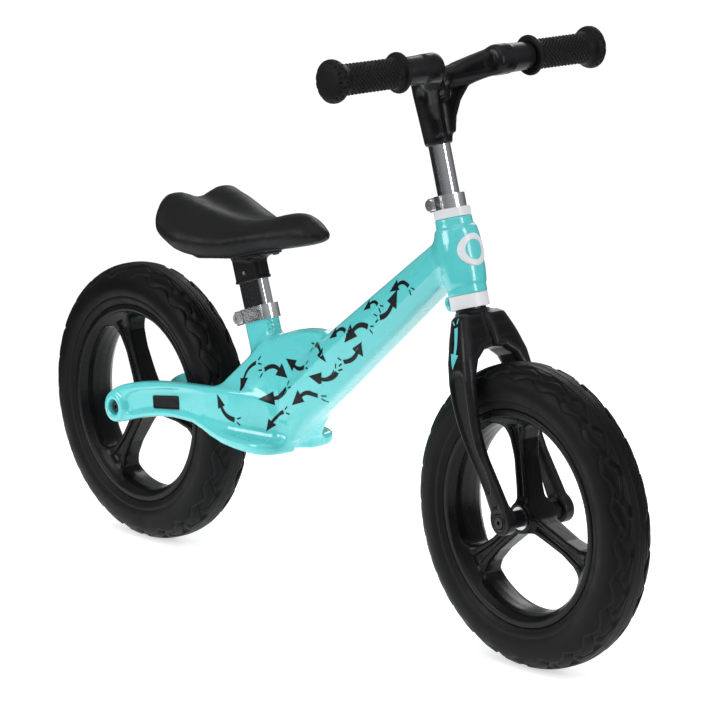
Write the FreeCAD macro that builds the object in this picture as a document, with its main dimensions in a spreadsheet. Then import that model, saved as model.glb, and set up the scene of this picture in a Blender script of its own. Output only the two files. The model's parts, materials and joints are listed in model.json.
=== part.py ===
"""Balance bike with a cast frame, a cast fork and two foam-tyred wheels. Millimetres.

X points forward, Y to the rider's left and Z up. The origin is on the ground in the middle plane,
halfway between the two axles. Steered pieces are drawn upright on the steering axis and then leaned
back with it; the saddle's pieces are drawn the same way on the seat axis.
"""
import FreeCAD, Part
import math
import os
import re

import Sketcher
from FreeCAD import Placement, Rotation, Vector

SIZES = {
    # wheels
    "wheelbase": 590, "tyre_radius": 145, "tyre_half_width": 25, "tyre_seat_radius": 103,
    "rim_bore_radius": 90, "rim_half_width": 21, "hub_radius": 15, "hub_half_length": 17,
    "spoke_width": 15, "spoke_depth": 22,
    "bearing_radius": 11, "bearing_bore_radius": 5.05, "bearing_width": 6,
    "axle_radius": 5, "axle_half_length": 29.7, "spacer_radius": 8, "spacer_width": 12.3,
    "bolt_radius": 3, "bolt_head_radius": 5.5, "bolt_head_height": 4, "bolt_length": 24,
    "front_spoke_angle": 100, "rear_spoke_angle": 115,
    # steering axis: lean, where it meets the ground, and heights along it
    "head_lean": 17.17, "head_foot": 306.9, "crown_bottom": 303, "crown_top": 340.5,
    "head_tube_bottom": 356.3, "head_tube_top": 429.8, "upper_cup_top": 438.3,
    "lower_cup_bottom": 343.5, "bar_clamp_bottom": 438.6, "bar_clamp_top": 451.7,
    "steerer_radius": 12.7, "steerer_bore_radius": 10.6, "steerer_bottom": 318,
    "stem_radius": 10.5, "stem_bottom": 360, "stem_top": 548, "socket_bottom": 498,
    "head_bearing_radius": 15, "head_bore_radius": 13.6,
    # fork
    "blade_outer": 42, "blade_inner": 30, "dropout_radius": 12.5, "dropout_outer": 42.6,
    # handlebar
    "bar_height": 566.3, "bar_sweep": 57.4, "bar_half_width": 153, "bar_radius": 11,
    "arm_radius": 13.2, "grip_inner_end": 79, "grip_outer_end": 166, "grip_radius": 14.5,
    # seat axis: lean, where it meets the ground, and heights along it
    "seat_lean": 19, "seat_foot": -19.2, "seat_bore_bottom": 178, "seat_tube_top": 289,
    "seat_clamp_bottom": 277, "seat_clamp_top": 291.5,
    "seat_tube_length": 41.5, "seat_tube_width": 19, "post_length": 36.5, "post_width": 13.5,
    "post_corner": 4, "post_gap": 0.3, "post_wall": 2, "post_bottom": 205, "post_top": 337,
    "bracket_bottom": 317.6, "bracket_pin_rise": 9, "bracket_plate_height": 319.3,
    "saddle_base_height": 323.3,
    # frame
    "stay_outer": 42, "stay_inner": 30, "rear_boss_outer": 49.4, "rear_boss_radius": 14,
    "tyre_room": 151, "footrest_bottom": 140, "footrest_thickness": 12.7, "footrest_half_width": 50,
}

doc = FreeCAD.newDocument("balance_bike")
sheet = doc.addObject("Spreadsheet::Sheet", "sheet")
for row, (alias, number) in enumerate(SIZES.items(), 1):
    sheet.set(f"A{row}", alias)
    sheet.set(f"B{row}", str(number))
    sheet.setAlias(f"B{row}", alias)
doc.recompute()

UP = Vector(0, 0, 1)
ACROSS = Vector(0, 1, 0)
FORWARD = Vector(1, 0, 0)
CENTRE = Vector(0, 0, 0)
NO_TURN = Rotation()
OVERSHOOT = 1  # how far a cutting tool runs past the face it opens
nodes = []
cuts = []
cell = {alias: f"sheet.{alias}" for alias in SIZES}


def size(alias):
    """The number in the sheet's cell of that name."""
    return float(sheet.get(alias))


def bound(expression):
    """An expression with each of the sheet's names written as the sheet's cell."""
    return re.sub("[a-z_]+", lambda word: cell.get(word.group(), word.group()), expression)


def drive(thing, **expressions):
    """Bind properties of an object to expressions over the sheet."""
    for name, expression in expressions.items():
        thing.setExpression(name, bound(expression))


def node(thing, label):
    """Name a finished sub-part; its label is also its file's name."""
    thing.Label = label
    nodes.append(thing)
    return thing


# ---------------------------------------------------------------- placing

def lean_on(thing, axis, along):
    """Stand an upright piece on the steering or seat axis, lifted along it."""
    thing.Placement = Placement(CENTRE, Rotation(ACROSS, -size(f"{axis}_lean")))
    lean = f"sin({axis}_lean)"
    rise = f"cos({axis}_lean)"
    thing.setExpression(".Placement.Base.x", bound(f"{axis}_foot - ({along}) * {lean}"))
    thing.setExpression(".Placement.Base.z", bound(f"({along}) * {rise}"))


def at_axle(thing, end, turn=NO_TURN):
    """Put a piece on the front or rear axle, with its own Z along the axle."""
    thing.Placement = Placement(CENTRE, Rotation(FORWARD, -90).multiply(turn))
    sign = {"front": "", "rear": "-1 * "}[end]
    thing.setExpression(".Placement.Base.x", bound(f"{sign}wheelbase / 2"))
    thing.setExpression(".Placement.Base.z", bound("tyre_radius"))


# ---------------------------------------------------------------- primitives

def cylinder(name, radius, height, start="0", centre=(0, 0)):
    """An upright cylinder from a start height; radius, height and start are expressions."""
    solid = doc.addObject("Part::Cylinder", name)
    solid.Placement = Placement(Vector(*centre, 0), NO_TURN)
    drive(solid, Radius=radius, Height=height)
    if start != "0":
        solid.setExpression(".Placement.Base.z", bound(start))
    return solid


def box(name, low, high):
    """A box between two corners."""
    solid = doc.addObject("Part::Box", name)
    solid.Length, solid.Width, solid.Height = (b - a for a, b in zip(low, high))
    solid.Placement = Placement(Vector(*low), NO_TURN)
    return solid


def minus(name, base, tool):
    cut = doc.addObject("Part::Cut", name)
    cut.Base = base
    cut.Tool = tool
    return cut


def union(name, pieces):
    fused = doc.addObject("Part::MultiFuse", name)
    fused.Shapes = pieces
    return fused


def group(name, pieces):
    """Separate solids kept in one node."""
    compound = doc.addObject("Part::Compound", name)
    compound.Links = pieces
    return compound


def ring(name, outer, inner, height, start="0"):
    """A round ring with a through bore."""
    body = cylinder(f"{name}_outside", outer, height, start)
    bore = cylinder(f"{name}_bore", inner, f"{height} + {2 * OVERSHOOT}", f"{start} - {OVERSHOOT}")
    return minus(name, body, bore)


def cap_bolt(name, grip_length):
    """A socket-head bolt along Z: its head's underside is at zero and its shank points down."""
    head = cylinder(f"{name}_head", "bolt_head_radius", "bolt_head_height")
    shank = cylinder(f"{name}_shank", "bolt_radius", grip_length, f"-1 * ({grip_length})")
    socket = doc.addObject("Part::Prism", f"{name}_socket")
    socket.Polygon = 6
    socket.Circumradius = size("bolt_radius") * 0.75
    socket.Height = size("bolt_head_height")
    socket.Placement = Placement(Vector(0, 0, size("bolt_head_height") * 0.35), NO_TURN)
    return minus(name, union(f"{name}_solid", [head, shank]), socket)


# ---------------------------------------------------------------- sketches

def new_body(name):
    return doc.addObject("PartDesign::Body", name)


def sketch(body, name, plane, offset=CENTRE, turn=NO_TURN):
    """A sketch on one of the body's own origin planes, moved by an attachment offset."""
    drawn = body.newObject("Sketcher::SketchObject", name)
    support = [f for f in body.Origin.OriginFeatures if f.Role == f"{plane}_Plane"][0]
    drawn.AttachmentSupport = [(support, "")]
    drawn.MapMode = "FlatFace"
    drawn.AttachmentOffset = Placement(offset, turn)
    return drawn


def corner_arc(before, corner, after, radius):
    """Where a corner's tangent arc starts, passes and ends."""
    to_before = (before - corner).normalize()
    to_after = (after - corner).normalize()
    half = to_before.getAngle(to_after) / 2
    reach = radius / math.tan(half)
    inward = (to_before + to_after).normalize()
    middle = corner + inward * (radius / math.sin(half) - radius)
    return corner + to_before * reach, middle, corner + to_after * reach


def outline(drawn, points):
    """A closed outline; each point is (x, y) or (x, y, corner radius)."""
    corners = [Vector(p[0], p[1], 0) for p in points]
    radii = [p[2] if len(p) > 2 else 0 for p in points]
    ends = []
    for i, corner in enumerate(corners):
        if radii[i]:
            after = corners[(i + 1) % len(corners)]
            ends.append(corner_arc(corners[i - 1], corner, after, radii[i]))
        else:
            ends.append((corner, None, corner))
    for i, (start, middle, end) in enumerate(ends):
        if middle:
            drawn.addGeometry(Part.Arc(start, middle, end), False)
        drawn.addGeometry(Part.LineSegment(end, ends[(i + 1) % len(ends)][0]), False)
    return drawn


def circle(drawn, radius, centre=(0, 0)):
    """A circle whose radius is an expression."""
    index = drawn.addGeometry(Part.Circle(Vector(*centre, 0), UP, 1), False)
    drawn.addConstraint(Sketcher.Constraint("Radius", index, 1))
    drawn.setExpression(f"Constraints[{drawn.ConstraintCount - 1}]", bound(radius))
    return drawn


def slab(drawn, length, width, corner):
    """A rectangle with rounded corners about the sketch's origin."""
    x, y = length / 2, width / 2
    return outline(drawn, [(-x, -y, corner), (x, -y, corner), (x, y, corner), (-x, y, corner)])


def pad(body, drawn, length, symmetric=False, reverse=False):
    feature = body.newObject("PartDesign::Pad", f"{drawn.Name}_pad")
    feature.Profile = drawn
    feature.SideType = "Symmetric" if symmetric else "One side"
    feature.Reversed = reverse
    drive(feature, Length=length)
    return feature


def pocket(body, drawn, length, symmetric=False, reverse=False):
    """Cut an outline out of the body."""
    feature = body.newObject("PartDesign::Pocket", f"{drawn.Name}_pocket")
    feature.Profile = drawn
    feature.SideType = "Symmetric" if symmetric else "One side"
    feature.Reversed = reverse
    drive(feature, Length=length)
    cuts.append(feature)
    return feature


def revolve(body, drawn):
    """A full turn about the sketch's own vertical axis."""
    feature = body.newObject("PartDesign::Revolution", f"{drawn.Name}_turn")
    feature.Profile = drawn
    feature.ReferenceAxis = (drawn, ["V_Axis"])
    feature.Angle = 360
    return feature


def loft(body, sections, kind="AdditiveLoft"):
    feature = body.newObject(f"PartDesign::{kind}", f"{sections[0].Name}_loft")
    feature.Profile = sections[0]
    feature.Sections = sections[1:]
    feature.Ruled = True
    return feature


def mirrored(points):
    """An outline's one half followed by its mirror image across the sketch's vertical axis."""
    return points + [(-p[0], *p[1:]) for p in reversed(points) if p[0]]


# ---------------------------------------------------------------- frame

REAR_AXLE = (-size("wheelbase") / 2, size("tyre_radius"))


def seat_point(along):
    """A point on the seat axis, in the frame's own coordinates."""
    lean = math.radians(size("seat_lean"))
    return Vector(size("seat_foot") - along * math.sin(lean), 0, along * math.cos(lean))


def head_point(along):
    """A point on the steering axis, in the frame's own coordinates."""
    lean = math.radians(size("head_lean"))
    return Vector(size("head_foot") - along * math.sin(lean), 0, along * math.cos(lean))


def head_turn():
    return Rotation(ACROSS, -size("head_lean"))


def seat_turn():
    return Rotation(ACROSS, -size("seat_lean"))


def frame_casting():
    body = new_body("frame")
    bottom, top = size("head_tube_bottom"), size("head_tube_top")

    # head tube: a barrel with a stepped collar at each end
    barrel = sketch(body, "barrel", "XZ", Vector(size("head_foot"), 0, 0),
                    Rotation(UP, size("head_lean")))
    outline(barrel, [(0, bottom), (18.9, bottom), (18.9, bottom + 8), (20.2, bottom + 12),
                     (21.2, bottom + 22), (21.2, bottom + 50), (19.6, top - 10), (17.5, top - 9),
                     (17.5, top), (0, top)])
    revolve(body, barrel)

    # beam: a tapering six-sided section from the head tube down to the footrest
    # each section: distance forward, then half widths and heights of top, side crease and bottom
    beam_sections = [(184, (12, 398), (17, 382), (8, 352)),
                     (120, (14, 351), (19, 333), (8, 294)),
                     (20, (15, 278), (23, 256), (8, 207)),
                     (-42, (12, 232), (27, 200), (9, 156))]
    sections = []
    for i, (forward, *corners) in enumerate(beam_sections):
        drawn = sketch(body, f"beam_section_{i}", "YZ", Vector(0, 0, forward))
        sections.append(outline(drawn, mirrored(corners)))
    loft(body, sections)

    # body: spreads from the narrow hump at the top down to the chainstays
    # each section: height, rear end, front end and half width
    body_sections = [(142, -146, -44, 40), (194, -135, -14, 33), (226, -112, 6, 16),
                     (250, -80, 6, 11), (266, -40, 2, 8)]
    sections = []
    for i, (height, rear, front, half) in enumerate(body_sections):
        drawn = sketch(body, f"body_section_{i}", "XY", Vector(0, 0, height))
        sections.append(outline(drawn, [(rear, -half), (front, -half), (front, half), (rear, half)]))
    loft(body, sections)

    # the casting is hollow: the hollow opens into the head tube's bore and the seat post's slot
    wall = 4.5
    hollow_sections = [(176, (8, 384), (12, 377), (5, 360)),
                       (120, (14 - wall, 346), (19 - wall, 333), (6, 300)),
                       (20, (15 - wall, 273), (23 - wall, 254), (6, 213)),
                       (-34, (12 - wall, 233), (22 - wall, 200), (6, 164)),
                       (-100, (5, 229), (22 - wall, 196), (8, 166))]
    sections = []
    for i, (forward, *corners) in enumerate(hollow_sections):
        drawn = sketch(body, f"hollow_section_{i}", "YZ", Vector(0, 0, forward))
        sections.append(outline(drawn, mirrored(corners)))
    loft(body, sections, "SubtractiveLoft")

    # seat tube
    foot = seat_point(size("seat_bore_bottom"))
    tube = sketch(body, "seat_tube", "XY", foot, seat_turn())
    slab(tube, size("seat_tube_length"), size("seat_tube_width"), 8)
    pad(body, tube, "seat_tube_top - seat_bore_bottom")

    # chainstays: one profile across both arms, parted by the room for the tyre further on
    stay = sketch(body, "chainstay", "XZ")
    outline(stay, [(-312, 162, 9), (-282, 173, 30), (-240, 181, 60), (-150, 193, 40), (-60, 192),
                   (-60, 142), (-122, 145, 30), (-157, 150, 40), (-212, 150, 60), (-262, 137, 40),
                   (-292, 127, 10), (-310, 131, 9)])
    pad(body, stay, "2 * stay_outer", symmetric=True)
    boss = circle(sketch(body, "rear_boss", "XZ"), "rear_boss_radius", REAR_AXLE)
    pad(body, boss, "2 * rear_boss_outer", symmetric=True)

    # footrest: a plate whose edges sweep back into the chainstays
    rest = sketch(body, "footrest", "XY", Vector(0, 0, size("footrest_bottom")))
    side = size("footrest_half_width")
    outline(rest, [(-45, -side, 14), (-45, side, 14), (-96, side, 20), (-138, size("stay_outer") - 2),
                   (-138, 2 - size("stay_outer")), (-96, -side, 20)])
    pad(body, rest, "footrest_thickness")

    # room for the rear tyre between the chainstays
    room = circle(sketch(body, "tyre_room_side", "XZ"), "tyre_room", REAR_AXLE)
    pocket(body, room, "2 * stay_inner", symmetric=True)

    # recess along each chainstay's outer face
    for side_name, sign in (("right", 1), ("left", -1)):
        recess = sketch(body, f"stay_recess_{side_name}", "XZ",
                        Vector(0, 0, sign * size("stay_outer")))
        outline(recess, [(-276, 165, 4), (-236, 176, 60), (-172, 185, 6), (-172, 157, 6),
                         (-220, 155, 60), (-276, 146, 4)])
        pocket(body, recess, "3", reverse=(sign < 0))

    # slot for the seat post
    slot = sketch(body, "post_slot", "XY", seat_point(size("seat_tube_top") + OVERSHOOT), seat_turn())
    gap = size("post_gap")
    slab(slot, size("post_length") + 2 * gap, size("post_width") + 2 * gap, size("post_corner") + gap)
    pocket(body, slot, f"seat_tube_top - seat_bore_bottom + {OVERSHOOT}")

    # bore of the head tube, wider where the headset cups press in
    spigot = 8
    for name, radius, start, length in (
            ("head_bore", "head_bore_radius", top, f"head_tube_top - head_tube_bottom + {OVERSHOOT}"),
            ("upper_seat", "head_bearing_radius", top, f"{spigot + OVERSHOOT}"),
            ("lower_seat", "head_bearing_radius", bottom + spigot - OVERSHOOT, f"{spigot}")):
        bore = sketch(body, name, "XY", head_point(start + OVERSHOOT), head_turn())
        pocket(body, circle(bore, radius), length)

    # rear axle holes and the recesses of the bolt heads
    hole = circle(sketch(body, "axle_hole", "XZ"), "bolt_radius + 0.2", REAR_AXLE)
    pocket(body, hole, "2 * rear_boss_outer + 2", symmetric=True)
    for side_name, sign in (("right", 1), ("left", -1)):
        seat = sketch(body, f"bolt_seat_{side_name}", "XZ",
                      Vector(0, 0, sign * (size("rear_boss_outer") + OVERSHOOT)))
        circle(seat, "bolt_head_radius + 0.6", REAR_AXLE)
        pocket(body, seat, f"7 + {OVERSHOOT}", reverse=(sign < 0))
    return node(body, "frame")


# ---------------------------------------------------------------- headset and seat clamp

def headset():
    """Two cups pressed into the head tube, each with a bearing round the steerer."""
    spigot = "8"
    upper = union("upper_cup", [
        cylinder("upper_cup_rim", "17.5", "upper_cup_top - head_tube_top"),
        cylinder("upper_cup_spigot", "head_bearing_radius", spigot, f"-1 * {spigot}")])
    upper = minus("upper_cup_bored", upper,
                  cylinder("upper_cup_bore", "head_bore_radius", "20", "-10"))
    upper = minus("headset_upper_cup", upper,
                  cylinder("upper_cup_seat", "head_bearing_radius", "10", "0.8"))
    lean_on(node(upper, "headset_upper_cup"), "head", "head_tube_top")

    lower = union("lower_cup", [
        cylinder("lower_cup_rim", "18.5", "head_tube_bottom - lower_cup_bottom"),
        cylinder("lower_cup_spigot", "head_bearing_radius", spigot,
                 "head_tube_bottom - lower_cup_bottom")])
    lower = minus("lower_cup_bored", lower,
                  cylinder("lower_cup_bore", "head_bore_radius", "30", "-1"))
    lower = minus("headset_lower_cup", lower,
                  cylinder("lower_cup_seat", "head_bearing_radius", "8.2", "-1"))
    lean_on(node(lower, "headset_lower_cup"), "head", "lower_cup_bottom")

    for name, along in (("upper_head_bearing", "head_tube_top + 0.8"),
                        ("lower_head_bearing", "lower_cup_bottom + 0.1")):
        bearing = cartridge(name, "head_bearing_radius", "steerer_radius + 0.05", "6.4", 0.9)
        lean_on(node(bearing, name), "head", along)


def cartridge(name, outer, inner, width, land):
    """A sealed ball bearing: two ring lands with the seal set back between them on both faces."""
    body = ring(f"{name}_body", outer, inner, width)
    faces = []
    for i, start in enumerate(("-1", f"{width} - 0.3")):
        faces.append(ring(f"{name}_seal_{i}", f"{outer} - {land}", f"{inner} + {land}", "1.3", start))
    return minus(name, body, union(f"{name}_seals", faces))


def clamp_ears(name, reach, start, half_width, height):
    """A block behind a collar that the clamp bolt pulls together."""
    return box(name, (-reach, -half_width, 0), (start, half_width, height))


def cross_bolt(name, label, axis, along, back, half_width, height):
    """The bolt of a clamp, lying across its ears, its head on the right-hand side."""
    bolt = cap_bolt(name, f"{2 * half_width} + 1.5")
    holder = group(f"{name}_holder", [bolt])
    bolt.Placement = Placement(Vector(-back, -half_width, height / 2), Rotation(FORWARD, 90))
    lean_on(node(holder, label), axis, along)


def barrel_nut(name, label, axis, along, back, half_width, height):
    """The flanged nut at the other end of a clamp's bolt."""
    flange = ring(f"{name}_nut", "5.2", "bolt_radius", "3")
    flange.Placement = Placement(Vector(-back, half_width, height / 2), Rotation(FORWARD, -90))
    holder = group(f"{name}_nut_holder", [flange])
    lean_on(node(holder, label), axis, along)


def rounded_tube(name, length, width, corner, height, hole=None):
    """A body that is an upright tube of rounded rectangular section, with its wall cut through."""
    body = new_body(name)
    pad(body, slab(sketch(body, f"{name}_outside", "XY"), length, width, corner), height)
    if hole:
        inside = slab(sketch(body, f"{name}_inside", "XY", Vector(0, 0, -OVERSHOOT)), *hole)
        pocket(body, inside, f"{height} + {2 * OVERSHOOT}", reverse=True)
    return body


def seat_clamp():
    wall = 2.3
    length, width = size("seat_tube_length"), size("seat_tube_width")
    height = size("seat_clamp_top") - size("seat_clamp_bottom")
    back = length / 2 + 6.5
    collar = rounded_tube("seat_clamp_collar", length + 2 * wall, width + 2 * wall, 8 + wall,
                          "seat_clamp_top - seat_clamp_bottom")
    ears = clamp_ears("seat_clamp_ears", back + 6, -length / 2, 6.5, height)
    whole = union("seat_clamp_solid", [collar, ears])
    inside = rounded_tube("seat_clamp_inside", length, width, 8, "20")
    inside.Placement = Placement(Vector(0, 0, -2), NO_TURN)
    split = box("seat_clamp_split", (-back - 8, -1, -2), (-length / 2 + 1, 1, height + 2))
    across = cylinder("seat_clamp_hole", "bolt_radius", "40")
    across.Placement = Placement(Vector(-back, -20, height / 2), Rotation(FORWARD, -90))
    clamp = minus("seat_clamp", whole, union("seat_clamp_cuts", [inside, split, across]))
    lean_on(node(clamp, "seat_clamp"), "seat", "seat_clamp_bottom")
    cross_bolt("seat_bolt", "seat_clamp_bolt", "seat", "seat_clamp_bottom", back, 6.5, height)
    barrel_nut("seat_bolt", "seat_clamp_nut", "seat", "seat_clamp_bottom", back, 6.5, height)


def head_badge():
    """A plain round badge that wraps the front of the head tube."""
    shell = ring("head_badge_shell", "22.4", "21.2", "30", "-15")
    disc = cylinder("head_badge_disc", "13", "30")
    disc.Placement = Placement(CENTRE, Rotation(ACROSS, 90))
    badge = doc.addObject("Part::Common", "head_badge")
    badge.Base = shell
    badge.Tool = disc
    lean_on(node(badge, "head_badge"), "head", "head_tube_bottom + 36")


def side_plates():
    """A plain rectangular plate in each chainstay's recess."""
    plates = []
    for side_name, sign in (("right", -1), ("left", 1)):
        face = sign * (size("stay_outer") - 3)
        low = (-232, min(face, face + sign), 159.5)
        high = (-194, max(face, face + sign), 173.5)
        plates.append(box(f"side_plate_{side_name}", low, high))
    node(group("side_plates", plates), "side_plates")


# ---------------------------------------------------------------- fork

def fork_casting():
    """Crown and two blades, drawn upright on the steering axis: X forward, Z along the axis."""
    body = new_body("fork")
    foot = size("wheelbase") / 2 - size("head_foot")
    lean = math.radians(size("head_lean"))
    axle_x = foot * math.cos(lean) + size("tyre_radius") * math.sin(lean)
    axle_z = size("tyre_radius") * math.cos(lean) - foot * math.sin(lean)
    outer, inner = size("blade_outer"), size("blade_inner")
    top, arch = size("crown_top"), size("crown_bottom")
    end = size("dropout_radius")

    # seen from the side: crown, blades that narrow downwards and round dropouts
    side = sketch(body, "side_view", "XZ")
    outline(side, [(18, top, 2), (24, 318, 20), (28, 285, 30), (24, 255, 40), (20.5, 225, 40),
                   (24, 200, 40), (33, 174, 30), (axle_x + end, axle_z + 8, 10),
                   (axle_x + end, axle_z - end, end - 0.05), (axle_x - end, axle_z - end, end - 0.05),
                   (axle_x - end, axle_z + 6, 10), (14, 180, 40), (3, 208, 40), (-5, 235, 40),
                   (-6.5, 270, 30), (-4, 318, 20), (-3, top, 2)])
    pad(body, side, "2 * blade_outer", symmetric=True)

    # seen from the front: the arch between the blades and the crown's sloping shoulders
    gap = sketch(body, "wheel_gap", "YZ", Vector(0, 0, -40))
    outline(gap, mirrored([(inner, 100), (inner, 268, 26), (9, arch, 8)]))
    pocket(body, gap, "120", reverse=True)
    for side_name, sign in (("right", -1), ("left", 1)):
        shoulder = sketch(body, f"shoulder_{side_name}", "YZ", Vector(0, 0, -40))
        outline(shoulder, [(sign * 23.6, top + 2), (sign * 36, 316, 20), (sign * 42.8, 266),
                           (sign * 60, 266), (sign * 60, top + 2)])
        pocket(body, shoulder, "120", reverse=True)

    # boss round the steerer
    boss = circle(sketch(body, "steerer_boss", "XY", Vector(0, 0, arch + 6)), "15.5")
    pad(body, boss, "crown_top - crown_bottom - 6")

    # recess along each blade's outer face
    for side_name, sign in (("right", 1), ("left", -1)):
        recess = sketch(body, f"blade_recess_{side_name}", "XZ",
                        Vector(0, 0, sign * (outer + OVERSHOOT)))
        outline(recess, [(3, 284, 5), (18, 284, 5), (13, 230, 40), (27, 176, 2), (21, 176, 2),
                         (1.5, 236, 40)])
        pocket(body, recess, f"3 + {OVERSHOOT}", reverse=(sign < 0))

    # dropout pads, steerer bore and axle holes
    for side_name, sign in (("right", 1), ("left", -1)):
        dropout = sketch(body, f"dropout_{side_name}", "XZ", Vector(0, 0, sign * (outer - 1)))
        circle(dropout, "dropout_radius - 1", (axle_x, axle_z))
        pad(body, dropout, "dropout_outer - blade_outer + 1", reverse=(sign < 0))
    bore = circle(sketch(body, "steerer_bore", "XY", Vector(0, 0, top + OVERSHOOT)),
                  "steerer_radius")
    pocket(body, bore, f"crown_top - steerer_bottom + {OVERSHOOT}")
    hole = circle(sketch(body, "fork_axle_hole", "XZ"), "bolt_radius + 0.2", (axle_x, axle_z))
    pocket(body, hole, "100", symmetric=True)
    for side_name, sign in (("right", 1), ("left", -1)):
        seat = sketch(body, f"fork_bolt_seat_{side_name}", "XZ",
                      Vector(0, 0, sign * (size("dropout_outer") + OVERSHOOT)))
        circle(seat, "bolt_head_radius + 0.6", (axle_x, axle_z))
        pocket(body, seat, f"3.5 + {OVERSHOOT}", reverse=(sign < 0))
    lean_on(node(body, "fork"), "head", "0")


def steerer():
    """The tube through the head tube, with the ring that carries the lower bearing."""
    tube = ring("steerer_tube", "steerer_radius", "steerer_bore_radius",
                "bar_clamp_top - steerer_bottom")
    lean_on(node(tube, "steerer_tube"), "head", "steerer_bottom")
    race = ring("crown_race", "14.6", "steerer_radius", "2.7")
    lean_on(node(race, "crown_race"), "head", "crown_top")
    split = ring("compression_ring", "14.6", "steerer_radius", "0.8")
    lean_on(node(split, "compression_ring"), "head", "bar_clamp_bottom - 0.8")


def bar_clamp():
    height = size("bar_clamp_top") - size("bar_clamp_bottom")
    outer = size("steerer_radius") + 2.1
    back = outer + 5
    collar = cylinder("bar_clamp_collar", f"{outer}", f"{height}")
    ears = clamp_ears("bar_clamp_ears", back + 5, -outer + 2, 6, height)
    inside = cylinder("bar_clamp_inside", "steerer_radius", "30", "-10")
    split = box("bar_clamp_split", (-back - 8, -1, -2), (-outer + 3, 1, height + 2))
    across = cylinder("bar_clamp_hole", "bolt_radius", "40")
    across.Placement = Placement(Vector(-back, -20, height / 2), Rotation(FORWARD, -90))
    clamp = minus("bar_clamp", union("bar_clamp_solid", [collar, ears]),
                  union("bar_clamp_cuts", [inside, split, across]))
    lean_on(node(clamp, "bar_clamp"), "head", "bar_clamp_bottom")
    cross_bolt("bar_bolt", "bar_clamp_bolt", "head", "bar_clamp_bottom", back, 6, height)
    barrel_nut("bar_bolt", "bar_clamp_nut", "head", "bar_clamp_bottom", back, 6, height)


# ---------------------------------------------------------------- handlebar

def stem_tube():
    tube = ring("stem_tube", "stem_radius", "stem_radius - 1.8", "stem_top - stem_bottom")
    lean_on(node(tube, "stem_tube"), "head", "stem_bottom")


def handlebar_casting():
    """A socket on the stem with two arms that sweep forward and out to the grips."""
    body = new_body("handlebar")
    height, sweep = size("bar_height"), size("bar_sweep")
    socket = sketch(body, "socket", "XZ")
    outline(socket, [(0, size("socket_bottom")), (13, size("socket_bottom"), 1.5), (14.5, 530),
                     (15.5, height + 12, 5), (0, height + 12)])
    revolve(body, socket)

    # the arms follow one flat path: across the socket, forward and then straight out
    spine = sketch(body, "arm_path", "XY", Vector(0, 0, height))
    reach = 76
    corners = [Vector(sweep, -reach, 0), Vector(sweep, -60, 0), Vector(4, 0, 0),
               Vector(sweep, 60, 0), Vector(sweep, reach, 0)]
    bends = [corner_arc(corners[i - 1], corners[i], corners[i + 1], radius)
             for i, radius in ((1, 30), (2, 20), (3, 30))]
    start = corners[0]
    for begin, middle, end in bends:
        spine.addGeometry(Part.LineSegment(start, begin), False)
        spine.addGeometry(Part.Arc(begin, middle, end), False)
        start = end
    spine.addGeometry(Part.LineSegment(start, corners[-1]), False)
    section = circle(sketch(body, "arm_section", "XZ", Vector(0, 0, reach)), "arm_radius",
                     (sweep, height))
    arms = body.newObject("PartDesign::AdditivePipe", "arms")
    arms.Profile = section
    arms.Spine = spine

    # bar ends inside the grips
    for side_name, sign in (("right", 1), ("left", -1)):
        end = sketch(body, f"bar_end_{side_name}", "XZ", Vector(0, 0, sign * (reach - 2)))
        pad(body, circle(end, "bar_radius", (sweep, height)), f"bar_half_width - {reach} + 2",
            reverse=(sign < 0))

    # web under each arm
    web = sketch(body, "arm_web", "YZ", Vector(0, 0, -3))
    outline(web, [(-27, height - 8, 6), (27, height - 8, 6), (13, 512), (-13, 512)])
    pad(body, web, "9")

    bore = circle(sketch(body, "stem_bore", "XY", Vector(0, 0, size("socket_bottom") - OVERSHOOT)),
                  "stem_radius")
    pocket(body, bore, f"stem_top - socket_bottom + {OVERSHOOT}", reverse=True)
    screw_hole = circle(sketch(body, "set_screw_hole", "YZ", Vector(0, 0, -20)), "2.5", (0, 520))
    pocket(body, screw_hole, "10", reverse=True)
    lean_on(node(body, "handlebar"), "head", "0")


def stem_set_screw():
    """The screw behind the socket that holds it on the stem tube."""
    screw = cylinder("stem_set_screw_shank", "2.5", "5")
    screw.Placement = Placement(Vector(-15.5, 0, 520), Rotation(ACROSS, 90))
    lean_on(node(group("stem_set_screw", [screw]), "stem_set_screw"), "head", "0")


def grips():
    """A rubber sleeve with a flange inboard and a wide mushroom end."""
    for side_name, sign in (("left", 1), ("right", -1)):
        body = new_body(f"grip_sleeve_{side_name}")
        start, end = size("grip_inner_end"), size("grip_outer_end")
        profile = sketch(body, f"grip_profile_{side_name}", "XZ")
        inner, outer = size("bar_radius"), size("grip_radius")
        outline(profile, [(inner, start), (18.5, start, 1.4), (18.5, start + 4, 1.4),
                          (outer, start + 7, 2), (outer, end - 16, 2), (20.5, end - 10, 3),
                          (20.5, end - 3, 2.5), (12, end, 6), (0, end),
                          (0, size("bar_half_width")), (inner, size("bar_half_width"))])
        revolve(body, profile)
        body.Placement = Placement(Vector(size("bar_sweep"), 0, size("bar_height")),
                                   Rotation(FORWARD, -90 * sign))
        holder = group(f"grip_{side_name}_holder", [body])
        lean_on(node(holder, f"grip_{side_name}"), "head", "0")


# ---------------------------------------------------------------- saddle

def seat_post():
    wall = 2 * size("post_wall")
    length, width, corner = size("post_length"), size("post_width"), size("post_corner")
    hole = (length - wall, width - wall, corner - size("post_wall"))
    tube = rounded_tube("post_tube", length, width, corner, "post_top - post_bottom", hole)
    rise = size("bracket_bottom") + size("bracket_pin_rise") - size("post_bottom")
    post = minus("post_drilled", tube, across_pin("post_pin_hole", rise, 2 * width))
    lean_on(node(post, "seat_post"), "seat", "post_bottom")
    plug = rounded_tube("post_plug", *hole, "8")
    lean_on(node(plug, "seat_post_plug"), "seat", "post_bottom")


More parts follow.
